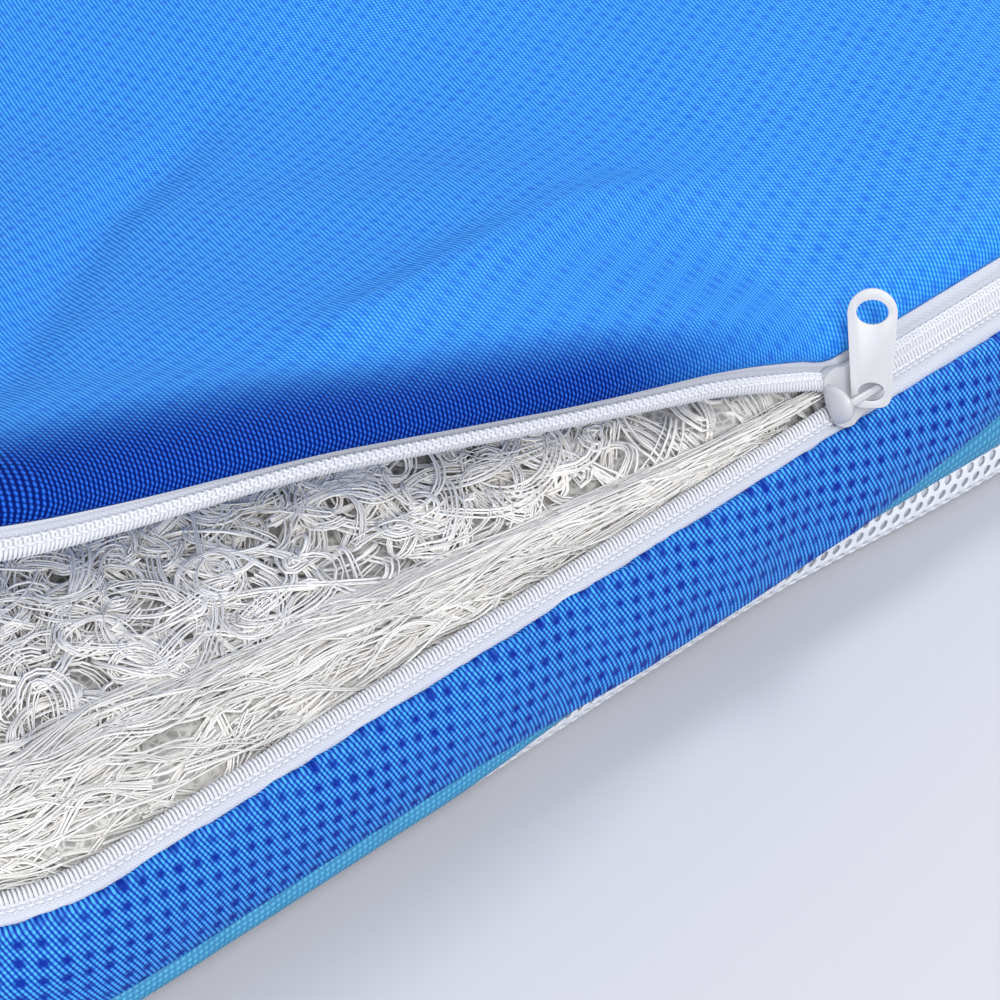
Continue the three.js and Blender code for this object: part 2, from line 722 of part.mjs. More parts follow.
// The slider sits on the zip where the two halves part.
const sliderGroup = new THREE.Group();
const [sliderOut, sliderUp] = zipSection(0, 0);
sliderGroup.position.set(sliderX, -seamHalfWidth - sliderOut, sliderUp);
sliderGroup.rotation.x = Math.PI / 2 - zipLean;
part.add(sliderGroup);
addPiece('slider_body', sliderBody(), enamel, sliderGroup);
const crown = addPiece('slider_crown', crownBody(), enamel, sliderGroup);
crown.position.set(crownMiddle, 0, crownFoot);

const [barOut, barUp] = zipSection(0, crownBarHeight);
const pull = addPiece('pull_tab', pullBody(), enamel);
pull.position.set(sliderX + crownMiddle, -seamHalfWidth - barOut, barUp);
pull.rotation.set(-pullLean, pullSwivel, pullTwist, 'XYZ');

export default part;
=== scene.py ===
# %% [markdown]
# # Cooling mat with an unzipped corner
#
# The mat is drawn over its imported frame. Lengths in the helpers are millimetres, and every mesh is
# written in metres. Most pieces are bound to the body that carries them, so they follow the joints;
# the top cover, the zip's upper tape, coil and stitches, and the three stops are bound to no body.

import math

import bmesh
import bpy
import numpy as np
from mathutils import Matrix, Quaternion, Vector


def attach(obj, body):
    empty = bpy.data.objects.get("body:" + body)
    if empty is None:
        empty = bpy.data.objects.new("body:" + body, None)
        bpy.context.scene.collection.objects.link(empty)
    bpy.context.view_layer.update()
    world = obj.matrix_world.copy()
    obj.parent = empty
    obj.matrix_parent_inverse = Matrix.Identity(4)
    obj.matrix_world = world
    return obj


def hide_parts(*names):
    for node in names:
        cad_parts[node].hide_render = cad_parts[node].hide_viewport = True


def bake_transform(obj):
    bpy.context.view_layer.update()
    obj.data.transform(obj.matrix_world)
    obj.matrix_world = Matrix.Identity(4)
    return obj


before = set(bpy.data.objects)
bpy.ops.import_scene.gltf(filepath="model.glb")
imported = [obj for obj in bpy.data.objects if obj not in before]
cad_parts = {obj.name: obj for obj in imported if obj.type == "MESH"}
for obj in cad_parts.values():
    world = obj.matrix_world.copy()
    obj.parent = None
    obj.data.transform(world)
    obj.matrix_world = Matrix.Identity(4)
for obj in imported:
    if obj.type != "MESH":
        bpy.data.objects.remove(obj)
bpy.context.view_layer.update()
MM = 0.001
CLOTH_THICKNESS = 0.9


def link(name, data):
    piece = bpy.data.objects.new(name, data)
    bpy.context.scene.collection.objects.link(piece)
    return piece


def aimed(name, data, target, azimuth, elevation, distance, roll=0.0):
    """A camera or lamp at a distance from its target and turned to it. Angles are in degrees."""
    a, e = math.radians(azimuth), math.radians(elevation)
    away = Vector((math.sin(a) * math.cos(e), -math.cos(a) * math.cos(e), math.sin(e)))
    thing = link(name, data)
    thing.location = (Vector(target) + away * distance) * MM
    thing.rotation_mode = "QUATERNION"
    turn = Quaternion(away, math.radians(roll))
    thing.rotation_quaternion = turn @ (-away).to_track_quat("-Z", "Y")
    return thing


# %% [markdown]
# ## Camera
#
# The photograph is taken from the front left, about forty degrees above the mat, with a long lens.
# The camera is set by its target, angles and distance, because each can be matched on its own.

# %% Camera
FOCAL_SHARE = 3.4666

camera_data = bpy.data.cameras.new("camera")
camera_data.sensor_width = 36
camera_data.lens = FOCAL_SHARE * camera_data.sensor_width
camera_data.clip_start = 0.02
camera_data.clip_end = 20
camera = aimed("camera", camera_data, target=(-106.3, -150.0, 45.0), azimuth=-36.8, elevation=39.42,
               distance=611, roll=-5.41)
bpy.context.scene.camera = camera
print("camera at", tuple(round(v, 3) for v in camera.location), "lens", camera_data.lens)

# %% [markdown]
# ## Sizes
#
# The seam outline is a rounded rectangle. It is walked from the zip's closed end on the front side,
# left round the front corner and on. A section of the side is given as out from the outline and up.
# So each side piece needs only its section, and all of them meet along the same line.

# %% Sizes
HALF_LENGTH = 247.0
HALF_WIDTH = 172.0
CORNER = 40.0
CLOSED_END_X = 80.0
SLIDER_X = -40.0
OPEN_END_FROM_FRONT = 160.0
FLAP_ANGLE = math.radians(32)
ZIP_OUT = -2.7
ZIP_UP = 43.9
LEAN = math.radians(25)
TAPE_HALF = 7.3
TOOTH_PITCH = 1.6
CROWN = 59.5
SHOULDER = 56.2
BAND_LOW = 14.9

STRAIGHT_LENGTH = 2 * (HALF_LENGTH - CORNER)
STRAIGHT_WIDTH = 2 * (HALF_WIDTH - CORNER)
QUARTER = math.pi / 2 * CORNER
FRONT_LEFT = CLOSED_END_X + STRAIGHT_LENGTH / 2
LEGS = [
    (FRONT_LEFT, (CLOSED_END_X, -HALF_WIDTH), math.pi, False),
    (QUARTER, (-STRAIGHT_LENGTH / 2, -HALF_WIDTH), math.pi, True),
    (STRAIGHT_WIDTH, (-HALF_LENGTH, -STRAIGHT_WIDTH / 2), math.pi / 2, False),
    (QUARTER, (-HALF_LENGTH, STRAIGHT_WIDTH / 2), math.pi / 2, True),
    (STRAIGHT_LENGTH, (-STRAIGHT_LENGTH / 2, HALF_WIDTH), 0.0, False),
    (QUARTER, (STRAIGHT_LENGTH / 2, HALF_WIDTH), 0.0, True),
    (STRAIGHT_WIDTH, (HALF_LENGTH, STRAIGHT_WIDTH / 2), -math.pi / 2, False),
    (QUARTER, (HALF_LENGTH, -STRAIGHT_WIDTH / 2), -math.pi / 2, True),
    (STRAIGHT_LENGTH - FRONT_LEFT, (STRAIGHT_LENGTH / 2, -HALF_WIDTH), math.pi, False),
]
PERIMETER = sum(leg[0] for leg in LEGS)
AT_SLIDER = CLOSED_END_X - SLIDER_X
AT_OPEN_END = FRONT_LEFT + QUARTER + OPEN_END_FROM_FRONT - CORNER
print("perimeter", round(PERIMETER, 1), "zip to", round(AT_OPEN_END, 1))


# %% Outline and sections
def direction(angle):
    return np.stack([np.cos(angle), np.sin(angle)], -1)


def outline(along):
    """Points of the seam outline and the directions straight out of it."""
    along = np.mod(np.asarray(along, float), PERIMETER)
    point = np.zeros(along.shape + (2,))
    outward = np.zeros(along.shape + (2,))
    start = 0.0
    for length, origin, heading, turns in LEGS:
        here = (along >= start - 1e-9) & (along <= start + length + 1e-9)
        rest = along[here] - start
        angle = heading - (rest / CORNER if turns else 0 * rest)
        normal = direction(angle + math.pi / 2)
        if turns:
            run = (normal - direction(heading + math.pi / 2)) * CORNER
        else:
            run = rest[:, None] * direction(heading)
        point[here] = np.array(origin) + run
        outward[here] = normal
        start += length
    return point, outward


def at_height(plan, height):
    return np.insert(plan, 2, height, axis=-1)


def side_points(along, out, up):
    """Places beside the outline, as an array of points."""
    point, outward = outline(along)
    return at_height(point + outward * np.asarray(out, float)[..., None], up)


def zip_section(across, proud, lean=LEAN):
    """The zip's own axes in a section: across the tapes, upward, and proud of them."""
    out = ZIP_OUT - np.asarray(across) * np.sin(lean) + np.asarray(proud) * np.cos(lean)
    up = ZIP_UP + np.asarray(across) * np.cos(lean) + np.asarray(proud) * np.sin(lean)
    return out, up


def smooth(share):
    """A soft step from 0 to 1 as the share goes from 0 to 1."""
    held = np.clip(share, 0, 1)
    return held * held * (3 - 2 * held)


def wave_noise(points, scale, seed, octaves):
    """Soft repeatable noise from turned sine waves of a scale in millimetres, about -1 to 1."""
    rng = np.random.default_rng(seed)
    total = np.zeros(points.shape[:-1])
    weight = 0.0
    for octave in range(octaves):
        for _ in range(4):
            turn = rng.normal(size=points.shape[-1])
            turn *= 2 * math.pi * 2 ** octave / scale / np.linalg.norm(turn)
            total += np.sin(points @ turn + rng.uniform(0, 2 * math.pi)) / 2 ** octave
        weight += 1 / 2 ** octave
    return total / (2 * weight)


# %% [markdown]
# ## The lifted corner
#
# The cover's corner turns up about a crease that runs from the slider to the zip's open end. Past the
# slider the zip's upper half climbs with it: near the slider it rises along the side, and farther on
# it turns up with the corner. Both are functions of a place, so that cloth, tape, coil and stitches
# follow the same curve.

# %% Crease
crease = np.array([SLIDER_X, -HALF_WIDTH, CROWN])
crease_end = np.array([-HALF_LENGTH, -HALF_WIDTH + OPEN_END_FROM_FRONT, CROWN])
crease_run = (crease_end - crease) / np.linalg.norm(crease_end - crease)
to_corner = np.array([-crease_run[1], crease_run[0], 0.0])
FLARE_WIDTH = 1.3
LIP_SLOPE = 0.38
LIP_RISE = 4.0
LIP_CURL_NEAR = 21.5
LIP_CURL_FAR = 23.5


def past_crease(points):
    """How far points lie past the crease, toward the corner."""
    return (points - crease) @ to_corner


def turned(points, angle):
    """Points turned up about the crease by an angle each."""
    arm = points - crease
    angle = np.asarray(angle)[..., None]
    along = (arm @ crease_run)[..., None] * crease_run
    sideways = np.cross(np.broadcast_to(crease_run, arm.shape), arm)
    return crease + arm * np.cos(angle) + sideways * np.sin(angle) + along * (1 - np.cos(angle))


def blend_across_crease(piece):
    """The piece's placement baked into its mesh; the piece is not bound to the mat or to the corner."""
    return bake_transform(piece)


def lifted_lip(along, across, proud):
    """The upper half past the slider: it climbs, and its edge curls under more and more."""
    beyond = along - AT_SLIDER
    far = smooth((beyond - 110) / 70)
    near_end = smooth((along - AT_OPEN_END + 70) / 70)
    curl = -np.radians(LIP_CURL_NEAR * smooth(beyond / 75) + LIP_CURL_FAR * far) * (1 - near_end)
    climb = LIP_SLOPE * np.maximum(beyond - 1, 0) * smooth((beyond + 2) / 12)
    climb = climb + LIP_RISE * smooth(beyond / 36)
    out, up = zip_section(across, proud, LEAN * (1 - smooth(beyond / 34)) + curl)
    climbing = side_points(along, out, up + climb)
    out, up = zip_section(across, proud, LEAN + curl)
    hold = smooth((beyond - 4) / 14) * (1 - smooth((along - AT_OPEN_END + 14) / 14))
    turning = turned(side_points(along, out, up), hold * FLAP_ANGLE)
    return climbing + (turning - climbing) * far[..., None]


def zip_points(side, along, across, proud, parts=True):
    """Places on a half of the zip: side -1 is the lower half, 1 the upper half that lifts.

    Where it parts, each half also draws back from the other past the slider."""
    along, across, proud = np.broadcast_arrays(np.asarray(along, float), across, proud)
    opened = smooth((along - AT_SLIDER + 1) / 4.4) * FLARE_WIDTH if parts else 0 * along
    if side > 0:
        return lifted_lip(along, across + opened, proud)
    out, up = zip_section(-across - opened, proud)
    return side_points(along, out, up)


print("crease toward the corner", np.round(to_corner, 3))

# %% [markdown]
# ## Making meshes
#
# A surface starts as a grid, and each grid point is then moved to its place. Most pieces keep their
# cloth coordinates in millimetres in a UV map named cloth, so that a weave drawn in them has its
# real size and follows the cloth however it bends.


# %% Grid maker
def tell(*pieces):
    for piece in pieces:
        print(piece.name, len(piece.data.polygons), "faces")


def mesh_of(work, name):
    mesh = bpy.data.meshes.new(name)
    work.to_mesh(mesh)
    work.free()
    return mesh


def points_of(mesh):
    points = np.zeros(len(mesh.vertices) * 3)
    mesh.vertices.foreach_get("co", points)
    return points.reshape(-1, 3)


def lay_cloth(mesh, flat):
    """Keep the cloth coordinates of each point of the mesh."""
    number = np.zeros(len(mesh.loops), int)
    mesh.loops.foreach_get("vertex_index", number)
    mesh.uv_layers.new(name="cloth").data.foreach_set("uv", flat[number].ravel())


def paired(first, second):
    """Two arrays as the parts of places, by row and column."""
    return np.stack(np.broadcast_arrays(first, second), -1).astype(float)


def grid_surface(name, places, flat, weld=False, marks=None):
    """A surface from arrays by row and column: where each point lies, and its cloth coordinates.

    Marks are more such arrays, kept under their names for the materials to read."""
    rows, columns = places.shape[:2]
    work = bmesh.new()
    bmesh.ops.create_grid(work, x_segments=columns - 1, y_segments=rows - 1, size=1)
    mesh = mesh_of(work, name)
    column, row, _ = np.rint((points_of(mesh) + 1) / 2 * (columns - 1, rows - 1, 1)).astype(int).T
    mesh.vertices.foreach_set("co", (places[row, column] * MM).ravel())
    lay_cloth(mesh, flat[row, column])
    for mark, values in (marks or {}).items():
        kept = mesh.attributes.new(mark, "FLOAT", "POINT")
        kept.data.foreach_set("value", values[row, column].astype(float))
    if weld:
        work = bmesh.new()
        work.from_mesh(mesh)
        bmesh.ops.remove_doubles(work, verts=work.verts, dist=1e-5)
        bmesh.ops.recalc_face_normals(work, faces=work.faces)
        work.to_mesh(mesh)
        work.free()
    mesh.update()
    mesh.shade_smooth()
    return link(name, mesh)


def thicken(piece, thickness, offset=-1):
    solid = piece.modifiers.new("thickness", "SOLIDIFY")
    solid.thickness = thickness * MM
    solid.offset = offset
    return piece


# %% [markdown]
# ## Materials
#
# The knit is drawn in cloth coordinates in millimetres, as rows of bright stitches with a lattice of
# small dimples whose hollows are darkened as painted shade, and painted shade turns it dark where the
# cover rolls over to the zip. The whites differ in gloss: woven tape, wound nylon, and smooth enamel.
# Crossed waves draw a weave sharply at any distance, and no picture file is needed.


# %% Node helpers
class Nodes:
    """A small writer of node trees: values and sockets go in, a socket comes out."""

    def __init__(self, name):
        self.material = bpy.data.materials.new(name)
        self.material.use_nodes = True
        self.tree = self.material.node_tree
        self.shader = self.tree.nodes["Principled BSDF"]

    def put(self, socket, value):
        if isinstance(value, bpy.types.NodeSocket):
            self.tree.links.new(value, socket)
        else:
            socket.default_value = value

    def math(self, operation, first, second=0.0, third=0.0, clamp=False):
        node = self.tree.nodes.new("ShaderNodeMath")
        node.operation = operation
        node.use_clamp = clamp
        for i, value in enumerate((first, second, third)):
            self.put(node.inputs[i], value)
        return node.outputs[0]

    def cloth(self):
        """The cloth coordinates, as a place and as its two parts."""
        node = self.tree.nodes.new("ShaderNodeUVMap")
        node.uv_map = "cloth"
        split = self.tree.nodes.new("ShaderNodeSeparateXYZ")
        self.put(split.inputs[0], node.outputs[0])
        return node.outputs[0], split.outputs[0], split.outputs[1]

    def object_place(self):
        return self.tree.nodes.new("ShaderNodeTexCoord").outputs["Object"]

    def mark(self, name):
        node = self.tree.nodes.new("ShaderNodeAttribute")
        node.attribute_name = name
        return node.outputs["Fac"]

    def wave(self, x, y, pitch, angle):
        """A cosine wave from 0 to 1 along the direction at an angle."""
        across = self.math("ADD", self.math("MULTIPLY", x, math.cos(angle)),
                           self.math("MULTIPLY", y, math.sin(angle)))
        turn = self.math("MULTIPLY", across, 2 * math.pi / pitch)
        return self.math("ADD", self.math("MULTIPLY", self.math("COSINE", turn), 0.5), 0.5)

    def noise(self, place, scale):
        node = self.tree.nodes.new("ShaderNodeTexNoise")
        self.put(node.inputs["Vector"], place)
        node.inputs["Scale"].default_value = scale
        return node.outputs["Fac"]

    def from_cell_edge(self, place, scale):
        node = self.tree.nodes.new("ShaderNodeTexVoronoi")
        node.feature = "DISTANCE_TO_EDGE"
        self.put(node.inputs["Vector"], place)
        node.inputs["Scale"].default_value = scale
        return node.outputs["Distance"]

    def steps(self, value, stops):
        """A colour ramp through stops of a position and a colour."""
        node = self.tree.nodes.new("ShaderNodeValToRGB")
        ramp = node.color_ramp
        while len(ramp.elements) < len(stops):
            ramp.elements.new(0.5)
        for element, (position, colour) in zip(ramp.elements, stops):
            element.position = position
            element.color = (*colour, 1)
        self.put(node.inputs[0], value)
        return node.outputs[0]

    def mix(self, share, first, second):
        node = self.tree.nodes.new("ShaderNodeMix")
        node.data_type = "RGBA"
        self.put(node.inputs[0], share)
        for i, value in ((6, first), (7, second)):
            self.put(node.inputs[i], (*value, 1) if isinstance(value, tuple) else value)
        return node.outputs[2]

    def bump(self, height, strength, distance):
        node = self.tree.nodes.new("ShaderNodeBump")
        node.inputs["Strength"].default_value = strength
        node.inputs["Distance"].default_value = distance * MM
        self.put(node.inputs["Height"], height)
        self.put(self.shader.inputs["Normal"], node.outputs[0])

    def finish(self, **values):
        for name, value in values.items():
            socket = self.shader.inputs[name.replace("_", " ").title().replace("Ior", "IOR")]
            self.put(socket, (*value, 1) if isinstance(value, tuple) else value)
        return self.material


# %% Knit
RIB_PITCH = 0.80
ROW_PITCH = 0.92
ROW_SHARE = 0.6
DIMPLE_PITCH = 3.5
# Colours of the painted shade where the cover rolls over to the zip: dark gaps, and dimmer stitches.
PAINTED_ROLL_SHADE_DARK = (0.0, 0.002, 0.09)
PAINTED_ROLL_SHADE_STITCH = (0.014, 0.088, 0.52)


def knit(name, light, base, dark, rib_angle, row_angle, dimples):
    """Ribs of stitches in rows, with two crossed waves of dimples whose hollows are darkened as painted
    shade, and painted shade where the cover rolls over to the zip. Angles are in degrees.
    """
    nodes = Nodes(name)
    painted_roll_shade = nodes.mark("painted_roll_shade")
    place, x, y = nodes.cloth()
    rib = nodes.wave(x, y, RIB_PITCH, math.radians(rib_angle))
    row = nodes.wave(x, y, ROW_PITCH, math.radians(row_angle))
    stitch = nodes.math("MULTIPLY", rib, nodes.math("MULTIPLY_ADD", row, ROW_SHARE, 1 - ROW_SHARE))
    stitch = nodes.math("MULTIPLY_ADD", stitch, 1.9, -0.2, clamp=True)
    first = nodes.wave(x, y, DIMPLE_PITCH, math.radians(rib_angle + 32))
    second = nodes.wave(x, y, DIMPLE_PITCH, math.radians(rib_angle - 50))
    uneven = nodes.math("MULTIPLY_ADD", nodes.noise(place, 0.1), 1.1, 0.1, clamp=True)
    dimple = nodes.math("MULTIPLY", first, nodes.math("MULTIPLY", second, uneven))
    deep = nodes.math("SUBTRACT", dimple, 0.1, clamp=True)
    dimple_depth_and_shade = nodes.math("MULTIPLY", deep, 2.0 * dimples, clamp=True)
    colour = nodes.mix(0.1, nodes.mix(stitch, dark, light), base)
    # Painted shade: the dimples' hollows also darken the knit's colour, besides sinking its bump.
    colour = nodes.mix(dimple_depth_and_shade, colour, dark)
    fleck = nodes.math("MULTIPLY", nodes.noise(place, 1.7), 0.25)
    colour = nodes.mix(fleck, colour, base)
    # Painted shade: toward the zip on the open stretch the knit turns dark navy, with only the stitch tops
    # lighter.
    painted_roll_colour = nodes.mix(nodes.math("POWER", stitch, 2.4), PAINTED_ROLL_SHADE_DARK, PAINTED_ROLL_SHADE_STITCH)
    colour = nodes.mix(nodes.math("MULTIPLY", painted_roll_shade, 0.95), colour, painted_roll_colour)
    height = nodes.math("SUBTRACT", nodes.math("MULTIPLY", stitch, 0.4),
                        nodes.math("MULTIPLY", dimple_depth_and_shade, 1.2))
    nodes.bump(height, 0.6, 0.3)
    gloss = nodes.math("MULTIPLY_ADD", painted_roll_shade, -0.10, 0.12)
    return nodes.finish(base_color=colour, roughness=0.55, specular_ior_level=gloss)


ice_silk = knit("ice_silk", light=(0.066, 0.416, 0.80), base=(0.022, 0.24, 0.75),
                dark=(0.003, 0.08, 0.56), rib_angle=-16, row_angle=60, dimples=0.45)
band_silk = knit("ice_silk_band", light=(0.076, 0.43, 0.90), base=(0.006, 0.12, 0.66),
                 dark=(0.0, 0.008, 0.22), rib_angle=-24, row_angle=58, dimples=0.95)
print("knits", ice_silk.name, band_silk.name)


# %% Woven and plain finishes
def woven_finish(name, first_wave, second_wave, dark, light, depth, roughness):
    """Two crossed waves of thread, each given by its pitch in millimetres and its angle."""
    nodes = Nodes(name)
    x, y = nodes.cloth()[1:]
    weave = nodes.math("MULTIPLY", nodes.wave(x, y, *first_wave), nodes.wave(x, y, *second_wave))
    nodes.bump(weave, 0.5, depth)
    return nodes.finish(base_color=nodes.mix(weave, dark, light), roughness=roughness)


def holed_finish():
    """The flat mesh under the mat, with its rows of holes drawn as grey spots of painted shade."""
    nodes = Nodes("white_mesh_base")
    x, y = nodes.cloth()[1:]
    hole = nodes.math("MULTIPLY", nodes.wave(x, y, 3.0, 0.0), nodes.wave(x, y, 3.0, 1.05))
    # Painted shade: the holes are grey spots, for the shade seen through them.
    dark = nodes.math("MULTIPLY", nodes.math("SUBTRACT", hole, 0.42, clamp=True), 2.2, clamp=True)
    nodes.bump(hole, -0.6, 0.5)
    colour = nodes.mix(dark, (0.68, 0.70, 0.73), (0.44, 0.45, 0.48))
    return nodes.finish(base_color=colour, roughness=0.7)


def plain_finish(name, colour, roughness):
    return Nodes(name).finish(base_color=colour, roughness=roughness)


turquoise = woven_finish("turquoise_cloth", (1.1, 0.35), (0.9, 1.5), (0.02, 0.18, 0.37),
                         (0.085, 0.40, 0.61), 0.25, 0.6)
tape_white = woven_finish("zip_tape", (0.62, 0.5), (0.62, 2.1), (0.50, 0.52, 0.59),
                          (0.60, 0.62, 0.69), 0.12, 0.75)
nylon = plain_finish("white_nylon", (0.58, 0.59, 0.63), 0.35)
thread_white = plain_finish("white_thread", (0.60, 0.61, 0.67), 0.7)
enamel = plain_finish("white_enamel", (0.45, 0.455, 0.485), 0.35)
mesh_white = plain_finish("white_mesh", (0.65, 0.67, 0.73), 0.7)
holed_white = holed_finish()
print("whites and turquoise made,", len(bpy.data.materials), "materials so far")


# %% Fibre finishes
def fibre_finish(name, dull, bright):
    """Clear-white filament, a little see-through, with brighter stretches."""
    nodes = Nodes(name)
    fleck = nodes.noise(nodes.object_place(), 60.0)
    colour = nodes.steps(fleck, [(0.3, dull), (0.55, bright)])
    nodes.shader.inputs["Subsurface Radius"].default_value = (1, 1, 1)
    return nodes.finish(base_color=colour, roughness=0.35, subsurface_weight=0.4, subsurface_scale=0.001)


def painted_depth_shade_finish():
    """The fibre deep in the core: light veins on a dark ground of painted shade, standing for the shade
    among the deeper white fibre.
    """
    nodes = Nodes("air_fibre_inside_painted_shade")
    place = nodes.object_place()
    vein = nodes.math("MINIMUM", nodes.from_cell_edge(place, 560.0), nodes.from_cell_edge(place, 240.0))
    colour = nodes.steps(vein, [(0.02, (0.64, 0.63, 0.61)), (0.12, (0.38, 0.38, 0.37)),
                                (0.4, (0.18, 0.18, 0.18))])
    return nodes.finish(base_color=colour, roughness=0.6)


# Painted light: both are the same clear-white filament. The loop fibre is near full white and warmed to
# offset the blue light the cover bounces onto it under the lifted corner, and the face fibre is painted
# darker because the face behind the zip is better lit.
loop_fibre = fibre_finish("air_fibre", (0.94, 0.905, 0.865), (1.0, 0.97, 0.93))
face_fibre_painted_darker = fibre_finish("air_fibre_face_painted_darker", (0.66, 0.645, 0.63), (0.80, 0.785, 0.765))
fibre_mass_painted_shade = painted_depth_shade_finish()
print("materials", len(bpy.data.materials))


def dress(piece, material):
    """Give the piece its only material."""
    piece.data.materials.clear()
    piece.data.materials.append(material)
    return piece


# %% [markdown]
# ## Top cover
#
# One continuous sheet covers the top. It is laid out closed first: rows of points run round the mat,
# from the hem on the zip's upper tape over the rolled rim to a spine in the middle. Then the corner is
# turned up in a round bend, with its swell and folds, and the hem is drawn to the lifted tape. A
# cloth simulation could drape it too, but its folds couldn't be set against the photograph.

# %% Closed cover
HEM = np.array([(6.7, 0.3), (6.4, 0.9), (7.2, 1.6)])
RIM_EASING = 18
ROLL_INSET = [5.2, 7.0, 9.2, 11.6, 14.2, 17.0, 20.0, 23.5]
ROLL_UP = [53.0, 54.8, 56.0, 56.6, 56.9, 57.1, 57.2, 57.3]
CROWN_RIM = 16
COVER_COLUMNS = 700
INNER_ROWS = 46
INNER_REACH = 149
SPINE_HALF = 75
SPINE_STEP = 2.5


def crown_height(plan):
    """The height of the closed cover, which crowns gently toward the middle."""
    x = np.abs(plan[..., 0]) / (HALF_LENGTH - CROWN_RIM)
    y = np.abs(plan[..., 1]) / (HALF_WIDTH - CROWN_RIM)
    rise = np.clip(1 - x ** 4, 0, 1) * np.clip(1 - y ** 3, 0, 1)
    return SHOULDER + (CROWN - SHOULDER) * rise ** 0.6


hem_out, hem_up = zip_section(HEM[:, 0], HEM[:, 1])
inset_rows = np.concatenate([-hem_out, ROLL_INSET])
up_rows = np.concatenate([hem_up, ROLL_UP])
inner_shares = np.linspace(0, 1, INNER_ROWS + 1)[1:] ** 1.15
columns_along = np.linspace(0, PERIMETER, COVER_COLUMNS)
point, outward = outline(columns_along)
spine_x = np.rint(np.clip(point[:, 0], -SPINE_HALF, SPINE_HALF) / SPINE_STEP) * SPINE_STEP
spine = np.stack([spine_x, 0 * spine_x], -1)
rim_plans = point - outward * inset_rows[:, None, None]
last_rim = rim_plans[-1]
inner_plans = last_rim + (spine - last_rim) * inner_shares[:, None, None]
edge_gap = crown_height(last_rim) - up_rows[-1]
easing = np.exp(-np.linalg.norm(inner_plans - last_rim, axis=-1) / RIM_EASING)
flat_xy = np.concatenate([rim_plans, inner_plans])
heights = np.concatenate([np.broadcast_to(up_rows[:, None], rim_plans.shape[:2]),
                          crown_height(inner_plans) - edge_gap * easing])
closed = at_height(flat_xy, heights)
inset_of_row = np.concatenate([inset_rows, inset_rows[-1] + inner_shares * INNER_REACH])[:, None]
print("closed cover", closed.shape, "up to", round(float(closed[..., 2].max()), 1))

# %% Lifted corner
FLAP_DOME = 11.0
DOME_EASING = 26.0
CREASE_SWELL = 15.0
CREASE_ROUND = 26.0


def flap_dome(plan):
    """How far the lifted corner swells above a flat flap: most at its middle, none at its edges.

    The shares of a place in the corner add up to one, so their product is highest at its middle."""
    corner_reach = past_crease(np.array([-HALF_LENGTH, -HALF_WIDTH, CROWN]))
    beyond_crease = past_crease(at_height(plan, CROWN))
    eased = (beyond_crease + np.sqrt(beyond_crease ** 2 + DOME_EASING ** 2)) / 2
    from_crease = np.clip(eased / corner_reach, 0, 1)
    from_front = np.clip((plan[..., 1] + HALF_WIDTH) / OPEN_END_FROM_FRONT, 0, 1)
    from_left = np.clip((plan[..., 0] + HALF_LENGTH) / (HALF_LENGTH + SLIDER_X), 0, 1)
    highest = 1 / 27
    return FLAP_DOME / highest * from_crease * from_front * from_left


def crease_swell(plan):
    """How far the loose cloth swells along the crease, so that the corner rises in one soft slope."""
    place = at_height(plan, CROWN)
    beyond_crease = past_crease(place)
    from_slider = (place - crease) @ crease_run
    to_open_end = np.linalg.norm(crease_end - crease) - from_slider
    across = smooth((beyond_crease + 90) / 90) * (1 - smooth((beyond_crease + 8) / 60))
    return CREASE_SWELL * across * smooth(from_slider / 70) * smooth(to_open_end / 70)


def bent(points):
    """The closed surface turned up past the crease, in a round bend instead of a sharp one."""
    beyond_crease = past_crease(points)
    walk = np.linspace(-CREASE_ROUND, CREASE_ROUND, 81)
    angle = FLAP_ANGLE * smooth((walk + CREASE_ROUND) / (2 * CREASE_ROUND))
    step = walk[1] - walk[0]
    plan_share = np.cumsum(np.cos(angle)) * step - CREASE_ROUND - step / 2
    rise_share = np.cumsum(np.sin(angle)) * step
    in_bend = np.clip(beyond_crease, -CREASE_ROUND, CREASE_ROUND)
    past_bend = np.maximum(beyond_crease - CREASE_ROUND, 0)
    reach = np.interp(in_bend, walk, plan_share) + past_bend * math.cos(FLAP_ANGLE)
    reach = np.where(beyond_crease < -CREASE_ROUND, beyond_crease, reach)
    rise = np.interp(in_bend, walk, rise_share) + past_bend * math.sin(FLAP_ANGLE)
    upward = np.array([0, 0, 1.0])
    depth = (points[..., 2] - CROWN)[..., None]
    here = np.interp(in_bend, walk, angle)[..., None]
    flat = points - to_corner * beyond_crease[..., None] - depth * upward
    lean = upward * np.cos(here) - to_corner * np.sin(here)
    return flat + to_corner * reach[..., None] + rise[..., None] * upward + depth * lean


# %% Folds
FOLD_RIDGE = [(-152, -150), (-128, -142), (-100, -133), (-72, -126), (-46, -122), (-16, -124)]
FOLD_VALLEY = [(-215, -152), (-179, -113), (-152, -85), (-125, -61), (-100, -46), (-66, -24)]
FOLD_FADE = 0.25


def fold(plan, line, height, width):
    """A soft fold along a line of plan points, fading out at both ends."""
    nearest = np.full(plan.shape[:-1], 1e9)
    held = np.zeros(plan.shape[:-1])
    count = len(line) - 1
    for number in range(count):
        start, end = np.array(line[number]), np.array(line[number + 1])
        run = end - start
        share = np.clip(((plan - start) @ run) / (run @ run), 0, 1)
        away = np.linalg.norm(plan - start - share[..., None] * run, axis=-1)
        closer = away < nearest
        nearest = np.where(closer, away, nearest)
        held = np.where(closer, (number + share) / count, held)
    faded = smooth(held / FOLD_FADE) * smooth((1 - held) / FOLD_FADE)
    return height * faded * np.exp(-(nearest / width) ** 2)


# %% Lifted cover
HEM_JOIN = 25
RIM_ZONE = 34
OPENING = 60
ROLL_PUSH_OUT = 1.8
ROLL_PUSH_UP = 1.4
CLOTH_WAVE = 0.9

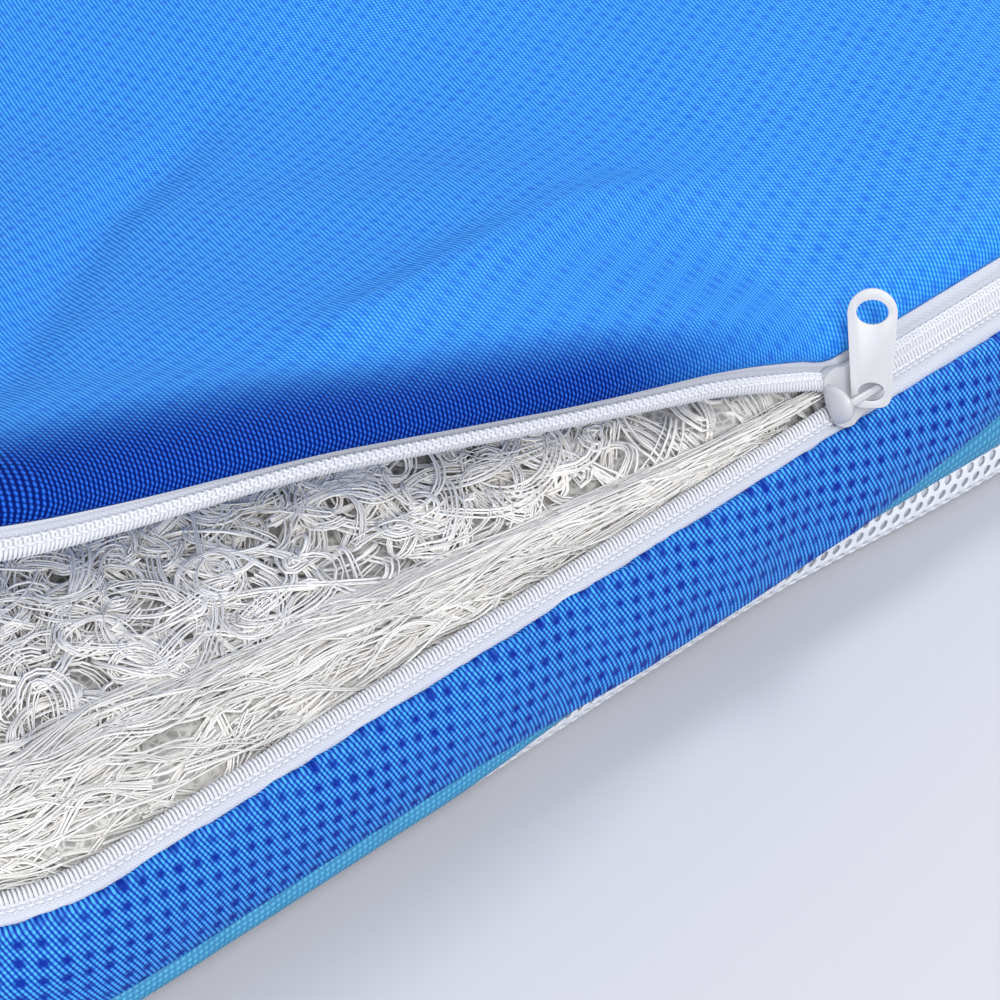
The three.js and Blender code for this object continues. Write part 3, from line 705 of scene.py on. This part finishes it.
lifted = bent(closed)
lifted[..., 2] += flap_dome(flat_xy) + crease_swell(flat_xy)
hem_rows = len(HEM)
in_zip = columns_along < AT_OPEN_END
hem_lifted = lifted[:hem_rows].copy()
beside_tape = zip_points(1, columns_along[None, in_zip], HEM[:, :1], HEM[:, 1:], parts=False)
follows = smooth(columns_along[in_zip] / HEM_JOIN)[None, :, None]
hem_lifted[:, in_zip] += (beside_tape - hem_lifted[:, in_zip]) * follows
rim_zone = np.exp(-np.maximum(inset_of_row - 6, 0) / RIM_ZONE) * (1 - smooth((inset_of_row - 60) / 60))
surface = lifted + (hem_lifted[-1] - lifted[hem_rows - 1]) * rim_zone[..., None]
surface[:hem_rows] = hem_lifted

beyond = columns_along - AT_SLIDER
to_end = AT_OPEN_END - columns_along
open_share = smooth((beyond - 2) / OPENING) * (1 - smooth((OPENING - to_end) / OPENING))
push_out = ROLL_PUSH_OUT * open_share * np.exp(-((inset_of_row - 8.5) / 5) ** 2)
push_up = ROLL_PUSH_UP * open_share * smooth((inset_of_row - 4) / 8)
push_up *= np.exp(-(np.maximum(inset_of_row - 14, 0) / 22) ** 2)
surface[hem_rows:, :, :2] += (outward * push_out[..., None])[hem_rows:]
surface[hem_rows:, :, 2] += push_up[hem_rows:]

inner = smooth((inset_of_row - 8) / 20)
surface[..., 2] += inner * CLOTH_WAVE * wave_noise(flat_xy, scale=95, seed=4, octaves=2)
surface[..., 2] += inner * fold(flat_xy, FOLD_RIDGE, height=3.4, width=7.5)
surface[..., 2] -= inner * fold(flat_xy, FOLD_VALLEY, height=3.2, width=7.0)
print("lifted cover up to", round(float(surface[..., 2].max()), 1))

# %% Top cover
step = np.linalg.norm(np.diff(closed, axis=0), axis=-1)
travel = np.concatenate([np.zeros((1, COVER_COLUMNS)), np.cumsum(step, axis=0)], 0)
near = 1 - smooth((inset_of_row - 10) / 30)
pull_out = (travel - (inset_of_row - inset_rows[0])) * near
cloth_xy = flat_xy - outward * pull_out[..., None]
# Painted shade: a mark along the open stretch where the cover curls down to the zip, and the knit darkens
# there.
past_slider = np.clip(beyond, 0, 170)
roll_middle = 7.0 + 0.08 * past_slider
roll_half = 2.5 + 0.05 * past_slider
painted_roll_shade = open_share * (1 - smooth((inset_of_row - roll_middle + roll_half) / (2 * roll_half)))
top_cover = grid_surface("top_cover", surface, cloth_xy, weld=True, marks={"painted_roll_shade": painted_roll_shade})
dress(top_cover, ice_silk)
thicken(top_cover, CLOTH_THICKNESS)
tell(top_cover)
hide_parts("top_panel", "corner_flap_panel")
blend_across_crease(top_cover)

# %% [markdown]
# ## Side bands
#
# The blue side below the zip, and the plain side that closes the rest of the mat. Each bulges a little
# between its lower seam and its top hem, which is turned in along the tape or under the cover. One
# section is swept round the outline for both, and soft noise gives it the ripples of sewn cloth.

# %% Lower edge
TUCK_DEPTH = 5.5


def tuck(along):
    """Where the mat's lower edge draws in under the blue side, from 0 to 1."""
    return smooth((along - 75) / 75) * (1 - smooth((along - 165) / 60))


def tuck_mesh(along):
    """Where the spacer mesh is drawn in under the mat, farther round than the binding."""
    return smooth((along - 75) / 75) * (1 - smooth((along - 290) / 60))


def draw_up(along):
    """How much higher the blue side ends where it shows more of the turquoise binding."""
    return 4.5 * smooth(along / 40) * (1 - smooth((along - 78) / 45))


# %% Side bands
BAND_BULGE = 3.0
BAND_SHARES = np.array([(0.0, -0.1), (0.03, 0.3), (0.12, 0.62), (0.28, 0.9), (0.45, 1.0), (0.6, 0.96),
                        (0.74, 0.72), (0.86, 0.42), (0.95, 0.2)])
BAND_ROWS = 23
BAND_STEP = 1.8
BAND_RIPPLE = 0.8
BAND_GATHER = 0.45
BAND_SAG = 3.0
PLAIN_START_GAP = 0.3
PLAIN_END_GAP = 0.4
UNDER_COVER = 6.05


def band_section(top_across):
    """The band's section, out and up, from its lower seam to the hem turned in at its top."""
    top_out, top_up = zip_section(top_across, 0.0)
    hem_out, hem_up = zip_section(top_across + 0.2, 0.9)
    height, bulge = BAND_SHARES.T
    out = BAND_BULGE * bulge + np.interp(height, [0.5, 1.0], [0, 1]) * hem_out
    out = np.concatenate([out, [hem_out, top_out + 0.25]])
    up = np.concatenate([BAND_LOW + (hem_up - BAND_LOW) * height, [hem_up, top_up - 0.1]])
    fine = np.linspace(0, len(out) - 1, BAND_ROWS)
    return np.interp(fine, np.arange(len(out)), out), np.interp(fine, np.arange(len(up)), up)


def band_surface(name, start, end, top_across):
    rows_out, rows_up = band_section(top_across)
    along = np.linspace(start, end, int((end - start) / BAND_STEP))
    share = np.linspace(0, 1, BAND_ROWS)[:, None]
    ripple = wave_noise(paired(along, rows_up[:, None] * 0.35), scale=26, seed=9, octaves=3)
    gather = wave_noise(paired(along, 0), scale=9, seed=12, octaves=2)
    out = rows_out[:, None] + BAND_RIPPLE * ripple * np.sin(share * math.pi)
    out += BAND_GATHER * gather * smooth((share - 0.6) / 0.3) * (1 - smooth((share - 0.95) / 0.05))
    sag = tuck(along) * (1 - smooth(share / 0.35))
    up = rows_up[:, None] + draw_up(along) * (1 - smooth(share / 0.5)) - BAND_SAG * sag
    length = np.concatenate([[0], np.cumsum(np.hypot(np.diff(rows_out), np.diff(rows_up)))])
    piece = grid_surface(name, side_points(along, out, up), paired(along, length[:, None]))
    dress(piece, band_silk)
    thicken(piece, CLOTH_THICKNESS)
    piece["cloth_width"] = float(length[-1])
    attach(piece, "mat")
    tell(piece)
    return piece


zip_band = band_surface("zip_side_cloth", 0.0, AT_OPEN_END, -TAPE_HALF)
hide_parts("zip_side_band")
plain_band = band_surface("plain_side_cloth", AT_OPEN_END + PLAIN_START_GAP,
                          PERIMETER - PLAIN_END_GAP, UNDER_COVER)
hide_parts("plain_side_band")

# %% [markdown]
# ## Binding and spacer mesh
#
# A turquoise binding runs round under the blue side. Below it the white spacer mesh turns up from
# the floor, knitted with rows of round holes. At the side the holes are real openings, because they
# are seen against the dark inside. Underneath they are only drawn, as grey spots of painted shade,
# which saves faces.

# %% Binding
BINDING_TURN = [0, 0.12, 0.3, 0.5, 0.7, 0.88, 1]
BINDING_OUT = [-1.2, 0.4, 1.5, 1.9, 1.5, 0.5, -1.0]
BINDING_UP = [10.2, 10.3, 11.0, 12.4, 13.8, 14.8, 15.2]
BINDING_WIDTH = 7.4
BINDING_SCALLOP = 0.35
BINDING_TUCK = 3.5

columns_along = np.linspace(0, PERIMETER, 900)
turn = np.linspace(0, 1, 15)[:, None]
scallop = BINDING_SCALLOP * wave_noise(paired(columns_along, 0), scale=17, seed=21, octaves=2)
out = np.interp(turn, BINDING_TURN, BINDING_OUT) + scallop * np.sin(turn * math.pi)
out -= BINDING_TUCK * tuck(columns_along)
up = np.interp(turn, BINDING_TURN, BINDING_UP) + scallop * (1 - turn)
up += draw_up(columns_along) * smooth(turn / 0.9)
flat = paired(columns_along, turn * BINDING_WIDTH)
binding = grid_surface("binding_cloth", side_points(columns_along, out, up), flat, weld=True)
dress(binding, turquoise)
thicken(binding, 0.7)
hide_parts("edge_binding")
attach(binding, "mat")
tell(binding)

# %% Spacer mesh skirt
MESH_ROWS = 4
MESH_COLUMNS = round(PERIMETER / 2.85)
MESH_PITCH = PERIMETER / MESH_COLUMNS
SKIRT_LENGTH = 12.5
NET_LIFT = 0.16
NET_THREAD = 0.5


def skirt_section(along, share):
    """The skirt's outer line from under the mat up to the binding, out and up."""
    knots = [0, 0.12, 0.3, 0.5, 0.75, 1]
    out = np.interp(share, knots, [-7.5, -3.6, -0.8, 0.0, 0.3, 0.0]) - TUCK_DEPTH * tuck_mesh(along)
    return out, np.interp(share, knots, [0.2, 0.9, 2.6, 4.7, 7.6, 10.4])


def brick_edges(work):
    """The upright edges to take out, so that each two cells of a row become one, in brick order."""
    spare = []
    for edge in work.edges:
        first, second = (vertex.co for vertex in edge.verts)
        if abs(first.x - second.x) < 1e-6 and len(edge.link_faces) == 2:
            column = round(first.x / (MESH_PITCH / 2))
            row = int((first.y + second.y) / 2 * MESH_ROWS / SKIRT_LENGTH)
            if (column + row) % 2 == 0:
                spare.append(edge)
    return spare


def holed_net(first, last):
    """A flat strip of six-sided holes between two columns."""
    work = bmesh.new()
    bmesh.ops.create_grid(work, x_segments=2 * (last - first), y_segments=MESH_ROWS, size=1)
    for vertex in work.verts:
        column = 2 * first + round((vertex.co.x + 1) * (last - first))
        row = round((vertex.co.y + 1) / 2 * MESH_ROWS)
        lift = NET_LIFT if (column + row) % 2 else -NET_LIFT
        vertex.co = (column * MESH_PITCH / 2, (row + lift) / MESH_ROWS * SKIRT_LENGTH, 0)
    bmesh.ops.dissolve_edges(work, edges=brick_edges(work), use_verts=False)
    holes = list(work.faces)
    bmesh.ops.inset_individual(work, faces=holes, thickness=NET_THREAD, depth=0)
    bmesh.ops.delete(work, geom=holes, context="FACES")
    return work


def skirt_piece(name, first, last):
    mesh = mesh_of(holed_net(first, last), name)
    along, height, _ = points_of(mesh).T
    places = side_points(along, *skirt_section(along, np.clip(height / SKIRT_LENGTH, 0, 1)))
    mesh.vertices.foreach_set("co", (places * MM).ravel())
    lay_cloth(mesh, paired(along, height))
    mesh.update()
    mesh.shade_smooth()
    piece = link(name, mesh)
    dress(piece, mesh_white)
    rounding = piece.modifiers.new("rounding", "SUBSURF")
    rounding.levels = 1
    rounding.render_levels = 1
    thicken(piece, 0.6)
    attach(piece, "mat")
    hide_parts("bottom_mesh_panel")
    return piece


front_skirt = skirt_piece("mesh_skirt_front", 0, MESH_COLUMNS // 2)
back_skirt = skirt_piece("mesh_skirt_back", MESH_COLUMNS // 2, MESH_COLUMNS)
tell(front_skirt, back_skirt)

# %% Inner face of the spacer mesh
columns_along = np.linspace(0, PERIMETER, 500)
share = np.linspace(0.06, 1, 9)[:, None]
out, up = skirt_section(columns_along, share)
places = side_points(columns_along, out - 0.6, up + 0.3)
lining = grid_surface("mesh_lining", places, paired(columns_along, SKIRT_LENGTH * share), weld=True)
dress(lining, mesh_white)
thicken(lining, 0.3)
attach(lining, "mat")
tell(lining)

# %% Mesh base
columns_along = np.linspace(0, PERIMETER, 361)
point, outward = outline(columns_along)
rim = point - outward * (6.5 + TUCK_DEPTH * tuck_mesh(columns_along)[:, None])
plans = np.array([rim * share for share in np.linspace(1, 0, 24)])
base = grid_surface("mesh_base", at_height(plans, 0.5), plans, weld=True)
dress(base, holed_white)
thicken(base, 0.4, 1)
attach(base, "mat")
tell(base)

# %% [markdown]
# ## Zip
#
# Each half is a woven tape with a nylon coil stitched along it. The coil is a row of wound turns, two for
# each tooth of the CAD strip, whose heads interlock where the zip is closed. A cord runs inside the
# turns, and two rows of stitches hold them down. Each turn is a short bent tube: a curve with a
# round bevel gives wound nylon its shape in few faces.


# %% Tubes
def tubes(name, paths, radius, sides, radii):
    """Strands along paths in millimetres as one mesh, with shares of the radius for their points."""
    curve = bpy.data.curves.new(name, "CURVE")
    curve.dimensions = "3D"
    curve.bevel_depth = radius * MM
    curve.bevel_resolution = (sides - 4) // 2
    curve.use_fill_caps = True
    for path, shares in zip(paths, radii):
        spline = curve.splines.new("POLY")
        spline.points.add(len(path) - 1)
        packed = np.ones((len(path), 4))
        packed[:, :3] = path * MM
        spline.points.foreach_set("co", packed.ravel())
        spline.points.foreach_set("radius", np.asarray(shares, float))
    strand = link(name + "_path", curve)
    bpy.context.view_layer.update()
    evaluated = strand.evaluated_get(bpy.context.evaluated_depsgraph_get())
    mesh = bpy.data.meshes.new_from_object(evaluated)
    mesh.name = name
    bpy.data.objects.remove(strand)
    bpy.data.curves.remove(curve)
    mesh.shade_smooth()
    return link(name, mesh)


# %% Zip tapes
TAPE_ACROSS = np.array([TAPE_HALF, 6.8, 6.0, 5.2, 4.5, 3.9, 3.4, 2.9, 2.2, 1.5, 0.9, 0.3])[:, None]
TAPE_PROUD = np.array([0.05, 0.35, 0.5, 0.52, 0.42, 0.15, -0.05, 0.15, 0.3, 0.25, 0.15, 0.05])[:, None]
TAPE_STEP = 1.25


def tape(name, side):
    """A tape whose sewn edge stays in its seam while its inner edge draws back with the coil."""
    along = np.linspace(0, AT_OPEN_END, int(AT_OPEN_END / TAPE_STEP))
    parted = zip_points(side, along, TAPE_ACROSS, TAPE_PROUD)
    still = zip_points(side, along, TAPE_ACROSS, TAPE_PROUD, parts=False)
    share = np.clip((TAPE_HALF - TAPE_ACROSS) / 3.5, 0, 1)[..., None]
    piece = grid_surface(name, still + (parted - still) * share, paired(along, TAPE_ACROSS))
    dress(piece, tape_white)
    return thicken(piece, 0.5, -side)


upper_tape = tape("upper_tape_cloth", 1)
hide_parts("upper_zip_tape_closed", "upper_zip_tape_open")
lower_tape = tape("lower_tape_cloth", -1)
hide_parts("lower_zip_tape")
tell(upper_tape, lower_tape)

# %% Coil teeth
TURN_PITCH = 0.5 * TOOTH_PITCH
TURN_RADIUS = 0.38
TURN_ALONG = np.array([-0.21, -0.19, -0.15, -0.08, 0.0, 0.10, 0.18, 0.21, 0.22, 0.23])
TURN_ACROSS = np.array([2.6, 2.4, 1.8, 0.8, -0.1, -0.6, -0.3, 0.7, 1.7, 2.4])
TURN_PROUD = np.array([0.55, 1.05, 1.35, 1.48, 1.42, 1.1, 0.7, 0.8, 0.95, 0.85])
TURN_RADII = np.array([0.9, 1.0, 1.05, 1.05, 0.8, 0.62, 0.7, 0.9, 0.9, 0.9])
CHAIN_START = 2.4
CHAIN_END = AT_OPEN_END - 7.4
CORD_ACROSS = 1.2
CORD_PROUD = 0.85


def turns_of(side):
    """Where the coil's turns stand along the zip: two turns for each tooth of the CAD."""
    first = CHAIN_START + (0.5 * TURN_PITCH if side < 0 else 0.0)
    return np.arange(first + 0.4, CHAIN_END - 0.4, TURN_PITCH)


def coil(name, side):
    turns = zip_points(side, turns_of(side)[:, None] + TURN_ALONG, TURN_ACROSS, TURN_PROUD)
    cord = zip_points(side, np.arange(CHAIN_START, CHAIN_END, 2.0), CORD_ACROSS, CORD_PROUD)
    radii = [TURN_RADII] * len(turns) + [np.full(len(cord), 1.3)]
    piece = tubes(name, list(turns) + [cord], TURN_RADIUS, 6, radii)
    return dress(piece, nylon)


upper_coil = coil("upper_coil_loops", 1)
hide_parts("upper_zip_coil_closed", "upper_zip_coil_open")
lower_coil = coil("lower_coil_loops", -1)
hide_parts("lower_zip_coil")
tell(upper_coil, lower_coil)


# %% Stitches
STITCH_ROWS = [(1.75, 1.62, -0.38), (2.75, 1.05, 0.2)]
STITCH_ALONG = np.array([-0.62, -0.3, 0.05, 0.4, 0.68])
STITCH_ARCH = 0.16 * np.array([-2.2, 0.2, 1.0, 0.2, -2.2])
THREAD_RADIUS = 0.3


def stitching(name, side):
    """Two rows of stitches, each row given by how far across, proud and along it lies."""
    paths = []
    for across, height, start in STITCH_ROWS:
        along = turns_of(side)[::2, None] + start + STITCH_ALONG
        paths += list(zip_points(side, along, across, height + STITCH_ARCH))
    piece = tubes(name, paths, THREAD_RADIUS, 6, np.ones((len(paths), len(STITCH_ALONG))))
    return dress(piece, thread_white)


upper_stitches = stitching("upper_stitches", 1)
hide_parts("upper_zip_stitching_closed", "upper_zip_stitching_open")
lower_stitches = stitching("lower_stitches", -1)
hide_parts("lower_zip_stitching")
for piece in (upper_tape, upper_coil, upper_stitches):
    blend_across_crease(piece)
for piece in (lower_tape, lower_coil, lower_stitches):
    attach(piece, "mat")
tell(upper_stitches, lower_stitches)

# %% [markdown]
# ## Slider and pull
#
# The slider, its crown and the pull keep their CAD shapes, with every hard edge rounded, as a thick
# coat of enamel rounds cast metal. The flat faces are joined first, so that the bevel runs evenly.
# The three stops show as they are in the CAD, in the same enamel.


# %% Rounded metal
def rounded(name, node, body, width, segments=3):
    """A copy of a CAD node with its flat faces joined and its hard edges rounded."""
    work = bmesh.new()
    work.from_mesh(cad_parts[node].data)
    bmesh.ops.remove_doubles(work, verts=work.verts, dist=2e-6)
    bmesh.ops.dissolve_limit(work, angle_limit=math.radians(2), verts=work.verts, edges=work.edges)
    hard = [edge for edge in work.edges if len(edge.link_faces) == 2
            and edge.calc_face_angle(0) > math.radians(35)]
    bmesh.ops.bevel(work, geom=hard, offset=width * MM, offset_type="OFFSET", segments=segments,
                    profile=0.5, affect="EDGES", material=-1, clamp_overlap=True)
    mesh = mesh_of(work, name)
    mesh.shade_smooth()
    piece = link(name, mesh)
    dress(piece, enamel)
    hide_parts(node)
    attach(piece, body)
    return piece


slider_shell = rounded("slider_shell", "slider_body", "slider", 0.28)
slider_bridge = rounded("slider_bridge", "slider_crown", "slider", 0.12, 2)
pull_plate = rounded("pull_plate", "pull_tab", "pull", 0.3)
for node in ("closed_end_stop", "open_end_stop_lower", "open_end_stop_upper"):
    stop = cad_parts[node]
    stop.data.materials.clear()
    stop.data.materials.append(enamel)
tell(slider_shell, slider_bridge, pull_plate)

# %% [markdown]
# ## Core
#
# The core is a block of bonded fibre. It shows in the open corner: tangled loops on its top, and long
# flattened strands on the face behind the zip. To fill the block with strands would take far too
# many, so they lie over a plain mass with a veined finish, whose dark ground is painted shade for
# the depths of the white fibre.

# %% Core mass
MASS_SECTION = [(-6, 5), (-7, 12), (-5.4, 34), (-6.2, 42), (-9.0, 46.0), (-14.5, 47.6), (-24, 48.4)]
MASS_LOW = 4.6
MASS_CROWN = 3.6

columns_along = np.linspace(0, PERIMETER, 361)
point, outward = outline(columns_along)
rows = [at_height(point * share, MASS_LOW) for share in (0, 0.4, 0.8)]
rows += [side_points(columns_along, out, up) for out, up in MASS_SECTION]
last_plan, last_up = rows[-1][:, :2], MASS_SECTION[-1][1]
for share in (0.9, 0.75, 0.55, 0.3, 0.0):
    rows.append(at_height(last_plan * share, last_up + MASS_CROWN * (1 - share ** 2)))
places = np.array(rows)
mass = grid_surface("core_mass", places, places[..., :2], weld=True)
# Painted shade: the mass's dark veined ground stands for the shade among the deeper white fibre.
dress(mass, fibre_mass_painted_shade)
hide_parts("core_block")
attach(mass, "mat")
tell(mass)


# %% Core surface
def inside_outline(plan):
    """How far inside the seam outline a place is."""
    reach = np.abs(plan) - np.array([HALF_LENGTH - CORNER, HALF_WIDTH - CORNER])
    outer = np.linalg.norm(np.maximum(reach, 0), axis=-1)
    return CORNER - outer - np.minimum(np.max(reach, axis=-1), 0)


def core_top(plan):
    """The height of the core's surface, with its round shoulder behind the zip."""
    inset = inside_outline(plan)
    shoulder = np.interp(inset, [1, 3, 6, 10, 15, 21, 30], [36, 41, 45.5, 49.5, 52, 53, 53.3])
    return shoulder + (crown_height(plan) - SHOULDER) * smooth((inset - 16) / 20)


def keep_inside(points):
    """Points pulled back under the core's surface and behind the zip, lower where the cover lies on it."""
    plan = points[..., :2]
    inset = inside_outline(plan)
    lacking = np.maximum(3.4 - inset, 0)[..., None]
    inward = -plan / np.linalg.norm(plan, axis=-1, keepdims=True)
    plan = plan + inward * lacking * 1.3
    covered = 1 - smooth((past_crease(points) - 4) / 12)
    ceiling = core_top(plan) + 0.9 - 3.2 * covered
    return at_height(plan, np.minimum(points[..., 2], ceiling))


# %% Bundles
def drifting(rng, count, start, pull):
    """A smooth random walk."""
    steps = rng.normal(size=(count, len(start))) * pull
    kernel = np.hanning(15)
    kernel /= kernel.sum()
    smoothed = np.stack([np.convolve(steps[:, i], kernel, "same") for i in range(len(start))], -1)
    return start + np.cumsum(smoothed, axis=0)


def sway(rng, count, least, most):
    """A sine wave along a path, through a random angle from a random start."""
    return np.sin(np.linspace(0, rng.uniform(least, most), count) + rng.uniform(0, 6))


def bundle(rng, path, number, spacing):
    """Nearly parallel strands side by side along one path, as the filaments of a loop lie together."""
    run = np.gradient(path, axis=0)
    sideways = np.stack([-run[:, 1], run[:, 0], 0 * run[:, 2]], -1)
    sideways /= np.linalg.norm(sideways, axis=1, keepdims=True) + 1e-6
    share = np.linspace(0, 1, len(path))[:, None]
    opening = 1 + 0.45 * np.sin(rng.uniform(0, 6) + rng.uniform(3, 14) * share)
    strands = []
    for place in np.arange(number) - (number - 1) / 2:
        wander = np.sin(rng.uniform(0, 6, 3) + rng.uniform(2, 9, 3) * share) * spacing
        strands.append(path + sideways * place * spacing * opening + 0.8 * wander)
    return strands


def fibre_piece(name, paths, radius, rng, fibre):
    """Strands of uneven thickness as one piece of the core."""
    radii = [np.full(len(path), rng.choice([0.7, 0.85, 1.0, 1.3])) for path in paths]
    piece = tubes(name, paths, radius, 4, radii)
    dress(piece, fibre)
    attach(piece, "mat")
    tell(piece)


# %% Loops on the top
RIDGE_BEYOND = [0, 33, 66, 100, 131, 155, 200]
RIDGE_INSET = [3.0, 4.5, 8.0, 11.8, 14.9, 17.0, 17.5]
LOOP_LAYERS = [(95, -0.6, 0.6, 0.20), (85, 0.0, 1.6, 0.22), (60, 1.2, 3.0, 0.25), (36, 2.8, 5.0, 0.28),
               (30, 4.0, 7.0, 0.34)]
STRAND_SPACING = 0.5


def ridge_inset(beyond):
    """How far inside the outline the core's front ridge stands, by the distance past the slider."""
    return np.interp(beyond, RIDGE_BEYOND, RIDGE_INSET)


def behind_ridge(plan):
    return inside_outline(plan) - ridge_inset(SLIDER_X - plan[..., 0])


def loop_path(rng, depth):
    while True:
        start = np.array([rng.uniform(-243, -8), rng.uniform(-168, -18)])
        if past_crease(np.append(start, CROWN)) > -4 and behind_ridge(start) > 3:
            break
    turns = rng.uniform(1.2, 3.4)
    size = rng.uniform(3.0, 6.4)
    count = max(20, int(turns * size * 2 * math.pi / 1.6))
    angle = rng.uniform(0, 7) + np.linspace(0, turns * 2 * math.pi, count) * rng.choice([-1, 1])
    centre = drifting(rng, count, start, 1.3 + 0.16 * size)
    radius = size * (1 + 0.3 * sway(rng, count, 4, 14))
    tilt = rng.uniform(0.1, 0.9) * sway(rng, count, 2, 8)
    facing = rng.uniform(0, 7) + np.linspace(0, rng.uniform(-3, 3), count)
    arm = direction(angle) * radius[:, None]
    plan = centre + arm
    rise = np.sin(tilt) * np.sum(arm * direction(facing), axis=-1)
    height = core_top(centre) - depth + rise + 0.5 * np.sin(angle * 1.7)
    height -= 0.8 * np.clip(1 - behind_ridge(plan), 0, 12)
    return at_height(plan, height)


def bundles(rng, number, make_path, shallow, deep):
    """Bundles of strands along paths at random depths in the core."""
    paths = []
    for _ in range(number):
        path = make_path(rng, rng.uniform(shallow, deep))
        paths += bundle(rng, path, rng.integers(3, 8), STRAND_SPACING)
    return paths


rng = np.random.default_rng(31)
for layer, (number, shallow, deep, radius) in enumerate(LOOP_LAYERS):
    paths = [keep_inside(path) for path in bundles(rng, number, loop_path, shallow, deep)]
    fibre_piece("core_loops_" + str(layer), paths, radius, rng, loop_fibre)

# %% Strands behind the zip
FACE_LAYERS = [(190, -0.2, 1.0, 0.20), (190, 0.8, 2.6, 0.28)]
FACE_INSET = 2.8
FACE_LOW = 36


def face_place(along, share):
    """A place on the core's dense front face: share 0 is behind the zip, 1 is on the ridge."""
    ridge = ridge_inset(along - AT_SLIDER)
    inset = FACE_INSET + (ridge - FACE_INSET) * share ** 1.4
    top = np.interp(ridge, [3, 8, 17], [46.2, 50.0, 54.8])
    return inset, FACE_LOW + (top - FACE_LOW) * np.sin(np.clip(share, 0, 1) * math.pi / 2) ** 0.9


def face_path(rng, sunk):
    length = rng.uniform(16, 70)
    start = rng.uniform(AT_SLIDER + 5, AT_OPEN_END + 4)
    count = max(8, int(length / 1.7))
    along = start + np.linspace(0, length, count)
    share = rng.uniform(0, 1.1) + 0.10 * sway(rng, count, 1, 7)
    share += 0.035 * sway(rng, count, 4, 16)
    inset, up = face_place(along, np.clip(share, 0, 1.15))
    wave = sunk + 0.5 * np.sin(np.linspace(0, rng.uniform(2, 9), count))
    return side_points(along, -inset - 0.7 * wave, up - 0.7 * wave)


rng = np.random.default_rng(77)
for layer, (number, shallow, deep, radius) in enumerate(FACE_LAYERS):
    paths = bundles(rng, number, face_path, shallow, deep)
    fibre_piece("core_strands_" + str(layer), paths, radius, rng, face_fibre_painted_darker)

# %% [markdown]
# ## Floor and light
#
# A plain pale floor, a small key light high on the right, a broad soft light over the camera that does
# most of the work, and a weak low one from the left. A pale sky fills the shadows. Broad lamps keep
# the white plastic from burning out.

# %% Floor and light
work = bmesh.new()
bmesh.ops.create_grid(work, x_segments=1, y_segments=1, size=4)
floor = link("floor", mesh_of(work, "floor"))
floor_finish = Nodes("floor")
floor.data.materials.append(floor_finish.finish(base_color=(0.505, 0.51, 0.55), roughness=0.9))


def round_light(name, azimuth, elevation, distance, size, power, colour):
    data = bpy.data.lights.new(name, "AREA")
    data.shape = "DISK"
    data.size = size
    data.energy = power
    data.color = colour
    aimed(name, data, (-100, -100, 50), azimuth, elevation, distance)


round_light("key", 100, 52, 1600, 0.4, 10, (1.0, 0.99, 0.97))
round_light("fill", -24, 40, 2000, 1.0, 31, (1.0, 1.0, 1.0))
round_light("low", -58, 12, 1600, 0.8, 5, (1.0, 0.99, 0.97))
world = bpy.data.worlds.new("studio")
bpy.context.scene.world = world
world.use_nodes = True
sky = world.node_tree.nodes["Background"]
sky.inputs["Color"].default_value = (0.95, 0.97, 1.0, 1)
sky.inputs["Strength"].default_value = 0.70
bpy.context.scene.view_settings.view_transform = "Standard"
print("lights", len(bpy.data.lights))
